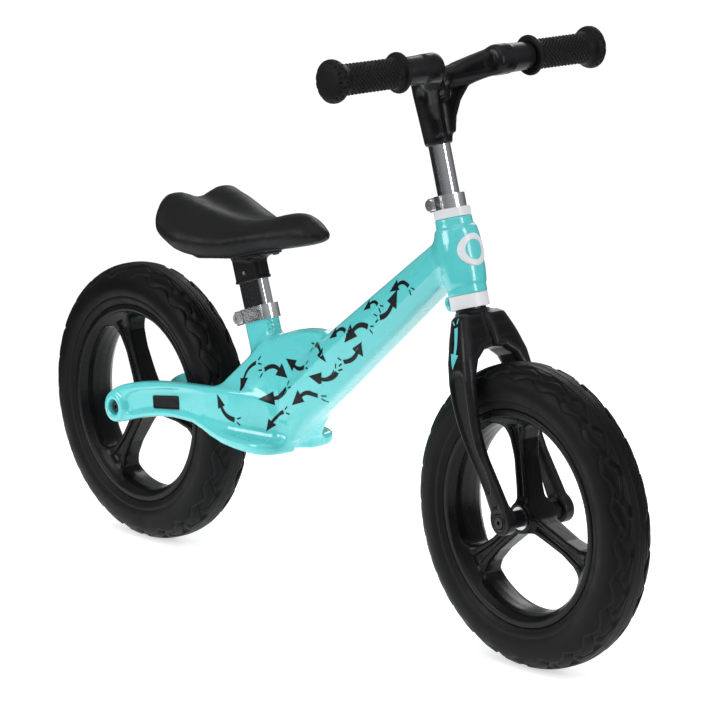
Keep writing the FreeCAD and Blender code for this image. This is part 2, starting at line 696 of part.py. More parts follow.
def across_pin(name, rise, length):
    """A pin that lies across the middle plane, or the hole for it, at a height."""
    pin = cylinder(name, "2", f"{length}")
    pin.Placement = Placement(Vector(0, -length / 2, rise), Rotation(FORWARD, -90))
    return pin


def saddle_bracket():
    """The black socket on the post and the plate that carries the saddle."""
    length, width, corner = size("post_length"), size("post_width"), size("post_corner")
    wall = 3
    height = size("post_top") - size("bracket_bottom") + wall
    socket = rounded_tube("bracket_socket", length + 2 * wall, width + 2 * wall, corner + wall,
                          f"{height}")
    inside = rounded_tube("bracket_inside", length, width, corner, f"{height}")
    inside.Placement = Placement(Vector(0, 0, -wall), NO_TURN)
    pin_rise = size("bracket_pin_rise")
    pin_hole = across_pin("bracket_pin_hole", pin_rise, 4 * width)
    socket = minus("bracket_socket_open", socket, union("bracket_cuts", [inside, pin_hole]))
    lean_on(socket, "seat", "bracket_bottom")
    top = size("bracket_plate_height")
    screws = screw_places()
    centre = bracket_centre()
    plate = box("bracket_plate", (centre - 34, -19, top), (centre + 34, 19, size("saddle_base_height")))
    room = rounded_tube("bracket_plate_room", length + 1, width + 1, corner, "60")
    lean_on(room, "seat", "bracket_bottom - 20")
    plate = minus("bracket_plate_cut", plate, room)
    holes = [cylinder(f"bracket_hole_{i}", "1.75", "10", "bracket_plate_height - 2", place)
             for i, place in enumerate(screws)]
    plate = minus("bracket_plate_open", plate, union("bracket_holes", holes))
    above = box("above_bracket", (centre - 60, -30, size("saddle_base_height")),
                (centre + 60, 30, size("saddle_base_height") + 40))
    bracket = minus("saddle_bracket", union("bracket_solid", [socket, plate]), above)
    node(bracket, "saddle_bracket")

    pin = across_pin("bracket_pin_shank", pin_rise, width + 2 * wall + 1)
    lean_on(node(group("bracket_pin", [pin]), "bracket_pin"), "seat", "bracket_bottom")
    saddle_screws(screws)


def bracket_centre():
    """Where the seat axis passes the bracket's plate."""
    height = size("bracket_plate_height") / math.cos(math.radians(size("seat_lean")))
    return seat_point(height).x


def screw_places():
    return [(bracket_centre() + x, y) for x in (-27, 27) for y in (-13, 13)]


def saddle_screws(places):
    screws = []
    for i, place in enumerate(places):
        head = cylinder(f"saddle_screw_head_{i}", "3.2", "2", "bracket_plate_height - 2", place)
        shank = cylinder(f"saddle_screw_shank_{i}", "1.75", "8", "bracket_plate_height", place)
        screws.append(union(f"saddle_screw_{i}", [head, shank]))
    node(group("saddle_screws", screws), "saddle_screws")


def saddle():
    """A soft pad over a thin base pan, both lofted from front to back."""
    base_height = size("saddle_base_height")
    # each section: distance forward, half width of the underside, widest half width and its
    # height, half width and height of the top edge, height of the middle
    pad_sections = [(-216, 24, 44, 358, 24, 374, 368), (-206, 46, 58, 354, 29, 381, 370),
                    (-182, 57, 67, 349, 32, 379, 369), (-150, 55, 65, 346, 30, 371, 365),
                    (-118, 43, 52, 348, 22, 366, 366), (-86, 28, 35, 354, 17, 370, 369),
                    (-54, 20, 25, 361, 12, 377, 378), (-26, 14, 18, 363, 8, 374, 375),
                    (-8, 7, 9, 361, 4, 366, 367)]
    lift = 4.3
    bottoms = [341, 333, 326.5, 324, 328, 337, 345.5, 352, 355]
    body = new_body("saddle_pad")
    sections = []
    for i, ((forward, low, wide, wide_height, top, top_height, middle), bottom) in enumerate(
            zip(pad_sections, bottoms)):
        drawn = sketch(body, f"pad_section_{i}", "YZ", Vector(0, 0, forward))
        half = [(low, bottom + lift), (wide, wide_height), (top, top_height), (0, middle)]
        outline(drawn, half + [(-y, z) for y, z in reversed(half[:3])])
        sections.append(drawn)
    loft(body, sections)
    node(body, "saddle_pad")

    base = new_body("saddle_base")
    sections = []
    for i, (section, bottom) in enumerate(list(zip(pad_sections, bottoms))[1:-1]):
        half = section[1] - 3
        drawn = sketch(base, f"base_section_{i}", "YZ", Vector(0, 0, section[0]))
        outline(drawn, [(half, bottom + lift), (-half, bottom + lift), (-half, bottom), (half, bottom)])
        sections.append(drawn)
    loft(base, sections)
    for i, place in enumerate(screw_places()):
        # a boss for each screw reaches down from the curved underside to the bracket's plate
        underside = 324.5 if place[0] < bracket_centre() else 331.5
        boss = circle(sketch(base, f"base_boss_{i}", "XY", Vector(*place, base_height)), "4.5")
        pad(base, boss, f"{underside - base_height + 1.5}")
        hole = circle(sketch(base, f"base_screw_hole_{i}", "XY", Vector(*place, base_height - 4)), "1.75")
        pocket(base, hole, "18", reverse=True)
    node(base, "saddle_base")


# ---------------------------------------------------------------- wheels

def tyre(end):
    """A foam tyre: a rounded tread with flatter sidewalls, gripping the rim's outside."""
    body = new_body(f"{end}_tyre")
    outer, half, seat = size("tyre_radius"), size("tyre_half_width"), size("tyre_seat_radius")
    profile = sketch(body, f"{end}_tyre_profile", "XZ")
    outline(profile, [(seat, -16), (seat + 3, -19, 2), (120, -half - 0.5, 14), (134, -half + 2, 12),
                      (outer, -11, 16), (outer, 11, 16), (134, half - 2, 12), (120, half + 0.5, 14),
                      (seat + 3, 19, 2), (seat, 16)])
    revolve(body, profile)
    at_axle(node(body, f"{end}_tyre"), end)


def rim(end):
    """Rim, three ribbed spokes and hub in one moulding."""
    body = new_body(f"{end}_rim")
    seat, bore, half = size("tyre_seat_radius"), size("rim_bore_radius"), size("rim_half_width")
    profile = sketch(body, f"{end}_rim_profile", "XZ")
    outline(profile, [(bore, -12, 4), (bore + 9, -half, 2), (seat + 2.4, -half, 1), (seat, -16),
                      (seat, 16), (seat + 2.4, half, 1), (bore + 9, half, 2), (bore, 12, 4)])
    revolve(body, profile)
    hub = circle(sketch(body, f"{end}_hub", "XY"), "hub_radius")
    pad(body, hub, "2 * hub_half_length", symmetric=True)

    width, depth = size("spoke_width"), size("spoke_depth")
    spoke = sketch(body, f"{end}_spoke", "XY")
    reach = bore + 4
    outline(spoke, [(0, -width / 2), (60, -width / 2, 60), (reach, -width), (reach, width),
                    (60, width / 2, 60), (0, width / 2)])
    blade = pad(body, spoke, "spoke_depth", symmetric=True)
    features = [blade]
    for side_name, sign in (("right", -1), ("left", 1)):
        groove = sketch(body, f"{end}_spoke_groove_{side_name}", "XY",
                        Vector(0, 0, sign * (depth / 2 + OVERSHOOT)))
        outline(groove, [(20, -2.5, 2), (reach - 12, -3.5, 2), (reach - 12, 3.5, 2), (20, 2.5, 2)])
        features.append(pocket(body, groove, f"3.5 + {OVERSHOOT}", reverse=(sign < 0)))
    turn = body.newObject("PartDesign::PolarPattern", f"{end}_spokes")
    turn.Originals = features
    turn.Axis = (spoke, ["N_Axis"])
    turn.Occurrences = 3
    turn.Angle = 360
    body.Tip = turn

    for side_name, sign in (("right", -1), ("left", 1)):
        seat_sketch = sketch(body, f"{end}_bearing_seat_{side_name}", "XY",
                             Vector(0, 0, sign * (size("hub_half_length") + OVERSHOOT)))
        circle(seat_sketch, "bearing_radius")
        pocket(body, seat_sketch, f"bearing_width + {OVERSHOOT}", reverse=(sign < 0))
    bore_sketch = circle(sketch(body, f"{end}_hub_bore", "XY"), "9")
    pocket(body, bore_sketch, "2 * hub_half_length", symmetric=True)
    at_axle(node(body, f"{end}_rim"), end, Rotation(UP, -size(f"{end}_spoke_angle")))


def hub_inside(end):
    """Two bearings with a sleeve between them; axle, spacers and bolts stay with the dropouts."""
    places = {"right": "-1 * hub_half_length", "left": "hub_half_length - bearing_width"}
    for side_name, start in places.items():
        name = f"{end}_bearing_{side_name}"
        bearing = cartridge(f"{name}_race", "bearing_radius", "bearing_bore_radius",
                            "bearing_width", 1.2)
        holder = group(f"{name}_holder", [bearing])
        bearing.setExpression(".Placement.Base.z", bound(start))
        at_axle(node(holder, name), end)
    sleeve = ring(f"{end}_sleeve", "bearing_bore_radius + 1.5", "bearing_bore_radius",
                  "2 * hub_half_length - 2 * bearing_width", "bearing_width - hub_half_length")
    at_axle(node(sleeve, f"{end}_bearing_sleeve"), end)

    axle = ring(f"{end}_axle_tube", "axle_radius", "bolt_radius", "2 * axle_half_length",
                "-1 * axle_half_length")
    at_axle(node(axle, f"{end}_axle"), end)
    spacers = []
    for i, start in enumerate(("-1 * axle_half_length", "axle_half_length - spacer_width")):
        spacers.append(ring(f"{end}_spacer_{i}", "spacer_radius", "axle_radius", "spacer_width", start))
    at_axle(node(group(f"{end}_spacers", spacers), f"{end}_spacers"), end)


def axle_bolts(end, seat):
    """The two bolts of an axle, heads sunk in the dropouts."""
    bolts = []
    for side_name, turn in (("right", 180), ("left", 0)):
        bolt = cap_bolt(f"{end}_bolt_{side_name}", "bolt_length")
        sign = -1 if turn else 1
        bolt.Placement = Placement(Vector(0, 0, sign * seat), Rotation(FORWARD, turn))
        bolts.append(bolt)
    at_axle(node(group(f"{end}_axle_bolts", bolts), f"{end}_axle_bolts"), end)


frame_casting()
headset()
seat_clamp()
head_badge()
side_plates()
fork_casting()
steerer()
bar_clamp()
stem_tube()
handlebar_casting()
stem_set_screw()
grips()
seat_post()
saddle_bracket()
saddle()
for wheel in ("front", "rear"):
    tyre(wheel)
    rim(wheel)
    hub_inside(wheel)
axle_bolts("front", size("dropout_outer") - 3.5)
axle_bolts("rear", size("rear_boss_outer") - 7)

doc.recompute()
for thing in doc.Objects:
    if "Invalid" in thing.State or "Error" in thing.State:
        raise RuntimeError(f"{thing.Label} is {thing.State}")
for cut in cuts:
    if cut.Shape.Volume > cut.BaseFeature.Shape.Volume - 1:
        raise RuntimeError(f"{cut.Label} removed nothing")
os.makedirs("parts", exist_ok=True)
for thing in nodes:
    if thing.Shape.isNull() or not thing.Shape.isValid() or not thing.Shape.Solids:
        raise RuntimeError(f"{thing.Label} has no valid solid")
for thing in nodes:
    thing.Shape.exportStep(f"parts/{thing.Label}.step")
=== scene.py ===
import json
import math

import bmesh
import bpy
import numpy as np
from mathutils import Matrix, Vector
from mathutils.bvhtree import BVHTree


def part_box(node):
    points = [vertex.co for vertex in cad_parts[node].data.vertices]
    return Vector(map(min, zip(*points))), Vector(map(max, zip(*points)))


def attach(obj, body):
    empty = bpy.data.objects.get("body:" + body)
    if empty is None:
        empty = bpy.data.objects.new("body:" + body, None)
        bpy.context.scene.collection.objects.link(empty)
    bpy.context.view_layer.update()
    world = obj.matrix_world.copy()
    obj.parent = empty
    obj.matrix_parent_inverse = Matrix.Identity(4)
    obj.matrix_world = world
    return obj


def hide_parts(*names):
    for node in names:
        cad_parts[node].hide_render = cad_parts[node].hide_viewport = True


# The balance bike's looks. Shapes are worked out in millimetres, and made into meshes in metres.
# X points forward, Y to the rider's left and Z up. Cast and moulded pieces are fields: a function
# that is negative inside the piece and close to the distance from its surface elsewhere.
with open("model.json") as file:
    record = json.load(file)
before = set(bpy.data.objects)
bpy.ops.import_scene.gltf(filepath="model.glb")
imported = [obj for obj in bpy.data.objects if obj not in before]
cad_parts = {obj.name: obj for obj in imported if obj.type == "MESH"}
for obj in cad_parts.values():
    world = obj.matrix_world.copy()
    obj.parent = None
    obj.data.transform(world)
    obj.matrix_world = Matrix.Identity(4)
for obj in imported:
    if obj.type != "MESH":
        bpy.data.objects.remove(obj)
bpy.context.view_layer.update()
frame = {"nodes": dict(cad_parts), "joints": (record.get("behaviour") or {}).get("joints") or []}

MM = 0.001
JOINTS = {joint["name"]: joint for joint in frame["joints"]}


def middle(node):
    """The middle of a node's box, in millimetres."""
    low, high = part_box(node)
    return (low + high) / (2 * MM)


def reach(node, axis):
    """How far a node goes along an axis, in millimetres."""
    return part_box(node)[1][axis] / MM


FRONT_AXLE = middle("front_axle")
REAR_AXLE = middle("rear_axle")
TYRE_RADIUS = FRONT_AXLE.z
HEAD_FOOT = JOINTS["steering"]["pos_m"][0] / MM
HEAD_AXIS = Vector(JOINTS["steering"]["axis"])
SEAT_AXIS = Vector(JOINTS["saddle_height"]["axis"])
SEAT_FOOT = -19.2  # where the seat axis meets the ground
HEAD_TUBE = (356.3, 429.8)  # along the steering axis
STAY_INNER, STAY_OUTER = 30, 42.5  # out from the middle plane
BLADE_INNER, BLADE_OUTER = 30, 42
TYRE_ROOM = 151
BAR_HEIGHT, BAR_SWEEP = 566.3, 57.4  # along the steering axis, and forward of it
GRIP_START = 79


# ------------------------ axes that lean

def along(axis, foot, x, z):
    """How far forward of a leaning axis a point is, and how far up along it."""
    return (x - foot) * axis.z - z * axis.x, (x - foot) * axis.x + z * axis.z


def leaned(axis, foot):
    """The matrix that stands an upright shape on a leaning axis."""
    turn = Matrix(((axis.z, 0, axis.x), (0, 1, 0), (-axis.x, 0, axis.z))).to_4x4()
    return Matrix.Translation((foot, 0, 0)) @ turn


ON_HEAD = leaned(HEAD_AXIS, HEAD_FOOT)
AXLE_S, AXLE_T = along(HEAD_AXIS, HEAD_FOOT, FRONT_AXLE.x, FRONT_AXLE.z)


# ------------------------ fields

def both(a, b, blend):
    """Where two fields overlap, with the edge between them rounded over about blend."""
    h = np.clip(0.5 - 0.5 * (b - a) / blend, 0, 1)
    return b + (a - b) * h + blend * h * (1 - h)


def either(a, b, blend):
    """Two fields joined, with a fillet of about blend."""
    return -both(-a, -b, blend)


def without(a, b, blend):
    """The first field with the second cut away, and the cut's edge rounded."""
    return both(a, -b, blend)


def without_corners(start, end):
    """The two points that are left of a side when the corners at its ends are cut off."""
    (ax, ay), (bx, by) = start, end
    return [(0.75 * ax + 0.25 * bx, 0.75 * ay + 0.25 * by), (0.25 * ax + 0.75 * bx, 0.25 * ay + 0.75 * by)]


def rounded(points, passes=2):
    """A closed outline with its corners cut again and again, which rounds them."""
    for _ in range(passes):
        points = [p for side in zip(points, points[1:] + points[:1]) for p in without_corners(*side)]
    return points


def smoothed(points, passes=2):
    """An open line with its corners cut in the same way, ends kept."""
    for _ in range(passes):
        cut = [p for side in zip(points, points[1:]) for p in without_corners(*side)]
        points = [points[0], *cut, points[-1]]
    return points


def squared_distance(p, q, start, end):
    """From points in a plane to a straight side, squared."""
    (ap, aq), (bp, bq) = start, end
    ep, eq = bp - ap, bq - aq
    wp, wq = p - ap, q - aq
    share = np.clip((wp * ep + wq * eq) / (ep * ep + eq * eq), 0, 1)
    return (wp - ep * share) ** 2 + (wq - eq * share) ** 2


def path_distance(p, q, points):
    """Distance in a plane to an open line of points."""
    nearest = np.inf
    for start, end in zip(points, points[1:]):
        nearest = np.minimum(nearest, squared_distance(p, q, start, end))
    return np.sqrt(nearest)


def outline(p, q, points):
    """Signed distance to a closed outline in the plane of p and q."""
    inside = False
    for (ap, aq), (bp, bq) in zip(points, points[1:] + points[:1]):
        if aq != bq:
            inside = inside ^ (((aq > q) != (bq > q)) & (p - ap < (bp - ap) * (q - aq) / (bq - aq)))
    return np.where(inside, -1, 1) * path_distance(p, q, points + points[:1])


def slab(p, q, half_p, half_q, corner):
    """Signed distance to a rectangle with round corners."""
    over_p = np.abs(p) - half_p + corner
    over_q = np.abs(q) - half_q + corner
    outside = np.hypot(np.maximum(over_p, 0), np.maximum(over_q, 0))
    return outside + np.minimum(np.maximum(over_p, over_q), 0) - corner


def between(value, low, high):
    """Signed distance to a slice of one coordinate."""
    return np.abs(value - (low + high) / 2) - (high - low) / 2


def skin(values, low, step):
    """Vertices and quads on the zero surface of a sampled field, one vertex a cell."""
    solid = values < 0
    cells = [n - 1 for n in solid.shape]
    corners = sum(solid[i:i + cells[0], j:j + cells[1], k:k + cells[2]].astype(np.int8)
                  for i in (0, 1) for j in (0, 1) for k in (0, 1))
    crossed = np.argwhere((corners > 0) & (corners < 8))
    index = np.full(cells, -1)
    index[tuple(crossed.T)] = np.arange(len(crossed))
    total, hits = np.zeros((len(crossed), 3)), np.zeros((len(crossed), 1))
    quads = []
    for axis in range(3):
        one, two = (axis + 1) % 3, (axis + 2) % 3
        for i in (0, 1):
            for j in (0, 1):
                start = crossed.copy()
                start[:, one] += i
                start[:, two] += j
                end = start.copy()
                end[:, axis] += 1
                a, b = values[tuple(start.T)], values[tuple(end.T)]
                cut = (a < 0) != (b < 0)
                point = start.astype(float)
                point[:, axis] += np.where(cut, a / np.where(cut, a - b, 1), 0)
                total += point * cut[:, None]
                hits += cut[:, None]
        first = solid.take(range(cells[axis]), axis)
        edges = np.argwhere(first != solid.take(range(1, cells[axis] + 1), axis))
        entering = ~first[tuple(edges.T)]
        ring = []
        for i, j in ((0, 0), (1, 0), (1, 1), (0, 1)):
            cell = edges.copy()
            cell[:, one] -= i
            cell[:, two] -= j
            ring.append(index[tuple(cell.T)])
        quad = np.stack(ring, 1)
        quads.append(np.where(entering[:, None], quad[:, ::-1], quad))
    return np.array(low) + step * total / hits, np.concatenate(quads)


def cast(name, field, low, high, step, place=Matrix.Identity(4)):
    """A mesh piece from a field: sampled on a grid, skinned and drawn onto the exact surface."""
    gentlest = 0.2  # below this squared slope, a point is drawn in more carefully
    low = [a - 2.5 * step for a in low]
    axes = [np.arange(a, b + 3 * step, step) for a, b in zip(low, high)]
    x, y, z = np.meshgrid(*axes, indexing="ij", sparse=True)
    values = np.broadcast_to(field(x, y, z), [len(a) for a in axes])
    points, quads = skin(values, low, step)
    nudge = 0.05 * step
    for _ in range(3):
        value = field(*points.T)
        slope = np.stack([(field(*(points + nudge * side).T) - value) / nudge
                          for side in np.eye(3)], 1)
        size = np.maximum((slope ** 2).sum(1), gentlest)
        move = slope * (value / size)[:, None]
        points -= np.clip(move, -0.5 * step, 0.5 * step)
    return mesh_piece(name, points, quads, place)


def added(name, data):
    """A new object in the scene."""
    thing = bpy.data.objects.new(name, data)
    bpy.context.scene.collection.objects.link(thing)
    return thing


def mesh_piece(name, points, faces, place=Matrix.Identity(4)):
    """A smooth-shaded object from points in millimetres, placed and turned into metres."""
    mesh = bpy.data.meshes.new(name)
    mesh.from_pydata([tuple(p) for p in points], [], [tuple(int(i) for i in f) for f in faces])
    mesh.transform(Matrix.Scale(MM, 4) @ place)
    mesh.shade_smooth()
    mesh.update()
    return added(name, mesh)


def finish(piece, body, slot, look, *nodes):
    """Puts a piece on its body, in place of the CAD nodes that it stands for."""
    piece.data.materials.clear()
    piece.data.materials.append(look)
    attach(piece, body)
    if nodes:
        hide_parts(*nodes)
    return piece


# ------------------------ materials

class Look:
    """A material on one Principled shader, with helpers for the nodes that feed it."""

    def __init__(self, name, roughness, **sockets):
        self.material = bpy.data.materials.new(name)
        self.material.use_nodes = True
        self.nodes = self.material.node_tree.nodes
        self.links = self.material.node_tree.links
        self.shader = self.nodes["Principled BSDF"]
        self.shader.inputs["Roughness"].default_value = roughness
        for socket, value in sockets.items():
            self.shader.inputs[socket.replace("_", " ")].default_value = value
        self.place = self.nodes.new("ShaderNodeTexCoord").outputs["Object"]
        self.bump_from = None

    def node(self, kind, **sockets):
        """A new node; what each socket is given is a number or another node's output."""
        node = self.nodes.new("ShaderNode" + kind)
        for socket, value in sockets.items():
            self.feed(node.inputs[socket.replace("_", " ")], value)
        return node

    def feed(self, socket, value):
        if isinstance(value, bpy.types.NodeSocket):
            self.links.new(value, socket)
        else:
            socket.default_value = value

    def noise(self, scale, detail=4, roughness=0.5, stretch=None):
        """Noise over the object's own coordinates; scale counts features a metre."""
        place = self.place
        if stretch:
            place = self.node("Mapping", Vector=place, Scale=stretch).outputs["Vector"]
        return self.node("TexNoise", Vector=place, Scale=scale, Detail=detail,
                         Roughness=roughness).outputs["Fac"]

    def cells(self, scale, feature="F1"):
        node = self.node("TexVoronoi", Vector=self.place, Scale=scale)
        node.feature = feature
        return node.outputs["Distance"]

    def between(self, value, from_low, from_high, low, high):
        """Maps a range of one value to a range of another."""
        return self.node("MapRange", Value=value, From_Min=from_low, From_Max=from_high,
                         To_Min=low, To_Max=high).outputs["Result"]

    def edges(self, radius=0.004):
        """About 0 on flat surface and in hollows, rising on outer edges."""
        return self.between(self.node("NewGeometry").outputs["Pointiness"], 0.5, 0.5 + radius, 0, 1)

    def times(self, a, b):
        node = self.nodes.new("ShaderNodeMath")
        node.operation = "MULTIPLY"
        self.feed(node.inputs[0], a)
        self.feed(node.inputs[1], b)
        return node.outputs[0]

    def colour(self, value, low, high):
        """Base colour that runs from one colour to another with a value."""
        node = self.nodes.new("ShaderNodeMix")
        node.data_type = "RGBA"
        for socket, given in (("Factor", value), ("A", (*low, 1)), ("B", (*high, 1))):
            self.feed(node.inputs[socket], given)
        self.links.new(node.outputs["Result"], self.shader.inputs["Base Color"])

    def roughness(self, value, low, high):
        self.links.new(self.between(value, 0.3, 0.7, low, high), self.shader.inputs["Roughness"])

    def bump(self, value, height):
        """Adds fine relief; height is in metres. Later calls add to earlier ones."""
        node = self.node("Bump", Strength=1, Distance=height, Height=value)
        if self.bump_from:
            self.links.new(self.bump_from, node.inputs["Normal"])
        self.bump_from = node.outputs["Normal"]
        self.links.new(self.bump_from, self.shader.inputs["Normal"])


def gloss_paint(name, low, high, roughness):
    """Powder coat under clear lacquer: a little orange peel and faint cloudiness."""
    look = Look(name, roughness, Coat_Weight=0.6, Coat_Roughness=0.08)
    look.colour(look.noise(14, 3), low, high)
    look.roughness(look.noise(60, 5), roughness - 0.05, roughness + 0.06)
    look.bump(look.noise(420, 2), 0.00003)
    look.bump(look.noise(90, 2), 0.00004)
    return look.material


def black_paint():
    """Satin black powder coat with fine grain, a little lighter on outer edges."""
    look = Look("black_paint", 0.3, Specular_IOR_Level=0.18)
    look.colour(look.times(look.edges(), look.noise(45, 4)), (0.0035, 0.0035, 0.004), (0.02, 0.02, 0.022))
    look.roughness(look.noise(70, 5), 0.24, 0.36)
    look.bump(look.noise(900, 3), 0.00005)
    look.bump(look.noise(110, 2), 0.00008)
    return look.material


def black_gloss():
    """Moulded nylon of the rims: glossy, with faint flow marks."""
    look = Look("black_gloss", 0.3, Specular_IOR_Level=0.15)
    look.colour(look.noise(25, 3), (0.003, 0.003, 0.0035), (0.007, 0.007, 0.0075))
    look.roughness(look.noise(50, 5, stretch=(1, 4, 1)), 0.22, 0.36)
    look.bump(look.noise(260, 3), 0.00008)
    return look.material


def black_plastic():
    """Moulded plastic with a fine spark-eroded grain."""
    look = Look("black_plastic", 0.45, Specular_IOR_Level=0.15)
    look.colour(look.noise(30, 3), (0.003, 0.003, 0.0035), (0.008, 0.008, 0.009))
    look.roughness(look.noise(80, 4), 0.4, 0.55)
    look.bump(look.cells(1600), 0.00008)
    return look.material


def foam_rubber():
    """Closed-cell foam tyre: dull and finely pitted, with a painted highlight that lightens the tread's outer
    edges.
    """
    look = Look("foam_rubber", 0.45, Specular_IOR_Level=0.1)
    # painted highlight: the colour rises on outer edges, so the raised tread reads lighter than flats and
    # grooves
    look.colour(look.times(look.noise(30, 6, 0.6), look.edges(0.02)),
                (0.0042, 0.0041, 0.0044), (0.017, 0.0165, 0.0178))
    look.roughness(look.noise(55, 6), 0.34, 0.52)
    look.bump(look.cells(1300), 0.00008)
    look.bump(look.noise(240, 4), 0.00012)
    return look.material


def grip_rubber():
    """Dull rubber, a little paler on outer edges."""
    look = Look("grip_rubber", 0.5, Specular_IOR_Level=0.15)
    look.colour(look.times(look.noise(40, 4), look.edges(0.03)),
                (0.0045, 0.0045, 0.0045), (0.02, 0.02, 0.021))
    look.roughness(look.noise(90, 4), 0.48, 0.66)
    look.bump(look.noise(1500, 3), 0.00008)
    return look.material


def saddle_skin():
    """Soft polyurethane skin with a fine leather grain and a low sheen."""
    look = Look("saddle_skin", 0.46, Specular_IOR_Level=0.18)
    look.colour(look.noise(18, 4), (0.004, 0.004, 0.0045), (0.009, 0.009, 0.01))
    look.roughness(look.noise(60, 5), 0.38, 0.5)
    look.bump(look.cells(1100, "DISTANCE_TO_EDGE"), 0.00014)
    look.bump(look.noise(480, 4), 0.0001)
    return look.material


def metal(name, tint, roughness, brushed):
    """Plated or brushed metal: streaks that run round the piece, small pits and smears."""
    look = Look(name, roughness, Metallic=1.0)
    look.colour(look.noise(35, 5), tuple(c * 0.86 for c in tint), tint)
    look.roughness(look.noise(24, 6, 0.6, stretch=(1, 1, brushed)), roughness * 0.7, roughness * 1.5)
    look.bump(look.noise(300, 4, stretch=(1, 1, brushed)), 0.00006)
    return look.material


def white_plastic():
    """White nylon that lets a little light in."""
    look = Look("white_plastic", 0.35, Subsurface_Weight=0.1, Subsurface_Scale=0.002)
    look.colour(look.noise(25, 4), (0.72, 0.74, 0.76), (0.84, 0.85, 0.87))
    look.roughness(look.noise(70, 4), 0.3, 0.45)
    look.bump(look.noise(500, 3), 0.00006)
    return look.material


def ink():
    """Printed black of the arrows: thin, even and a little less shiny than the paint."""
    look = Look("ink", 0.32, Specular_IOR_Level=0.2)
    look.colour(look.noise(200, 4), (0.003, 0.003, 0.005), (0.007, 0.007, 0.01))
    look.roughness(look.noise(300, 4), 0.26, 0.4)
    return look.material


PAINT = gloss_paint("turquoise_paint", (0.10, 0.60, 0.61), (0.115, 0.65, 0.66), 0.24)
MINT = gloss_paint("mint_print", (0.10, 0.58, 0.60), (0.12, 0.64, 0.66), 0.3)
BLACK_PAINT = black_paint()
BLACK_GLOSS = black_gloss()
BLACK_PLASTIC = black_plastic()
FOAM = foam_rubber()
GRIP = grip_rubber()
SKIN = saddle_skin()
BRIGHT = metal("bright_aluminium", (0.86, 0.87, 0.88), 0.2, 6)
CHROME = metal("chrome", (0.72, 0.73, 0.76), 0.08, 0.2)
STEEL = metal("zinc_steel", (0.6, 0.61, 0.62), 0.28, 1)
BOLT_BLACK = metal("black_oxide", (0.05, 0.05, 0.055), 0.35, 1)
WHITE = white_plastic()
INK = ink()

SLOT_LOOKS = {
    "frame_paint": PAINT, "black_paint": BLACK_PAINT, "bright_clamp": BRIGHT, "chrome": CHROME,
    "steel": STEEL, "bolt_black": BOLT_BLACK, "white_plastic": WHITE, "plate_black": BLACK_PLASTIC,
    "grip_rubber": GRIP, "tyre": FOAM, "black_plastic_gloss": BLACK_GLOSS,
    "black_plastic": BLACK_PLASTIC, "saddle_skin": SKIN,
}


def dress_cad_nodes():
    for node in frame["nodes"].values():
        slot = node.data.materials[0].name.split(".")[0]
        node.material_slots[0].material = SLOT_LOOKS[slot]


# ------------------------ frame

# the beam, from behind the seat tube to the head tube: distance forward, then heights and half widths
BEAM_X = (-42, 20, 120, 184)
BEAM_TOP, TOP_HALF = (232, 278.5, 352.5, 400), (13, 15.5, 14.5, 13)
BEAM_SHOULDER, SHOULDER_HALF = (204, 258, 334, 383), (26, 23, 19.5, 18)
BEAM_CREASE, CREASE_HALF = (175, 229, 315, 368), (24.5, 22, 19, 17.5)
BEAM_BOTTOM, BOTTOM_HALF = (160, 211, 297, 352), (11.5, 12, 12.5, 13)
BEAM_SLOPE = 0.8  # cosine of the beam's climb

BODY = rounded([(-150, 146), (-146, 176), (-138, 196), (-113, 226), (-96, 243), (-72, 255),
                (-44, 265), (-14, 270), (3, 266), (14, 250), (-12, 196), (-48, 141), (-110, 141)], 1)
BODY_HEIGHTS, BODY_HALF = (138, 170, 194, 226, 250, 270), (41, 39.5, 35, 19, 12, 9)
WAIST_X, WAIST_HALF = (-140, -105, -72, -40, 10), (41, 36, 27, 22, 20)  # narrower towards the front

STAY = rounded([(-306, 159), (-292, 168), (-270, 175), (-240, 181.5), (-197, 188), (-156, 192),
                (-126, 195), (-80, 196), (-60, 190), (-60, 142), (-98, 140), (-125, 146),
                (-157, 150), (-181, 151), (-215, 149.5), (-258, 140), (-290, 129), (-305, 131),
                (-311, 145)], 1)
STAY_RECESS = rounded([(-281, 146), (-280, 160), (-266, 167), (-236, 174.5), (-200, 181),
                       (-172, 185), (-140, 187), (-118, 184), (-112, 160), (-150, 160),
                       (-178, 158), (-215, 156.5), (-250, 149), (-272, 141)], 2)
STAY_RECESS_X, STAY_RECESS_DEPTH = (-205, -140), (3.4, -2.5)  # dies out towards the body
BOSS_RADIUS = 14
REST_PLAN = rounded([(-44, 0), (-44, 30), (-50, 44), (-64, 51), (-90, 51), (-112, 48.5), (-140, 42.5),
                     (-175, 38), (-175, 0)], 2)
REST_TOP, REST_LIP = 152.7, 5  # height, and width of the raised edge
REST_BOTTOM_X, REST_BOTTOM = (-180, -150, -118), (153, 146, 140)  # rises to meet the stays
RIB_PITCH, RIB_HEIGHT = 9, 0.5
HEAD_T = (356, 364, 368, 378, 406, 419, 421, 430)  # along the head tube
HEAD_RADIUS = (18.7, 18.7, 20, 21, 21, 19.6, 17.6, 17.5)
SEAT_TUBE, SEAT_TUBE_OUTSIDE = (178, 289), (20.75, 9.5, 7.5)  # ends; half length, half width, corner
SEAT_BORE = (18.6, 7.1, 4.3)
HEAD_BORE, AXLE_BOLT_BORE, AXLE_BOLT_SEAT = 13.6, 8.2, 40.5
HOOK_MIDDLE, HOOK_RADIUS, HOOK_HALF = (-23, 351), 6, 2.2  # under the head tube


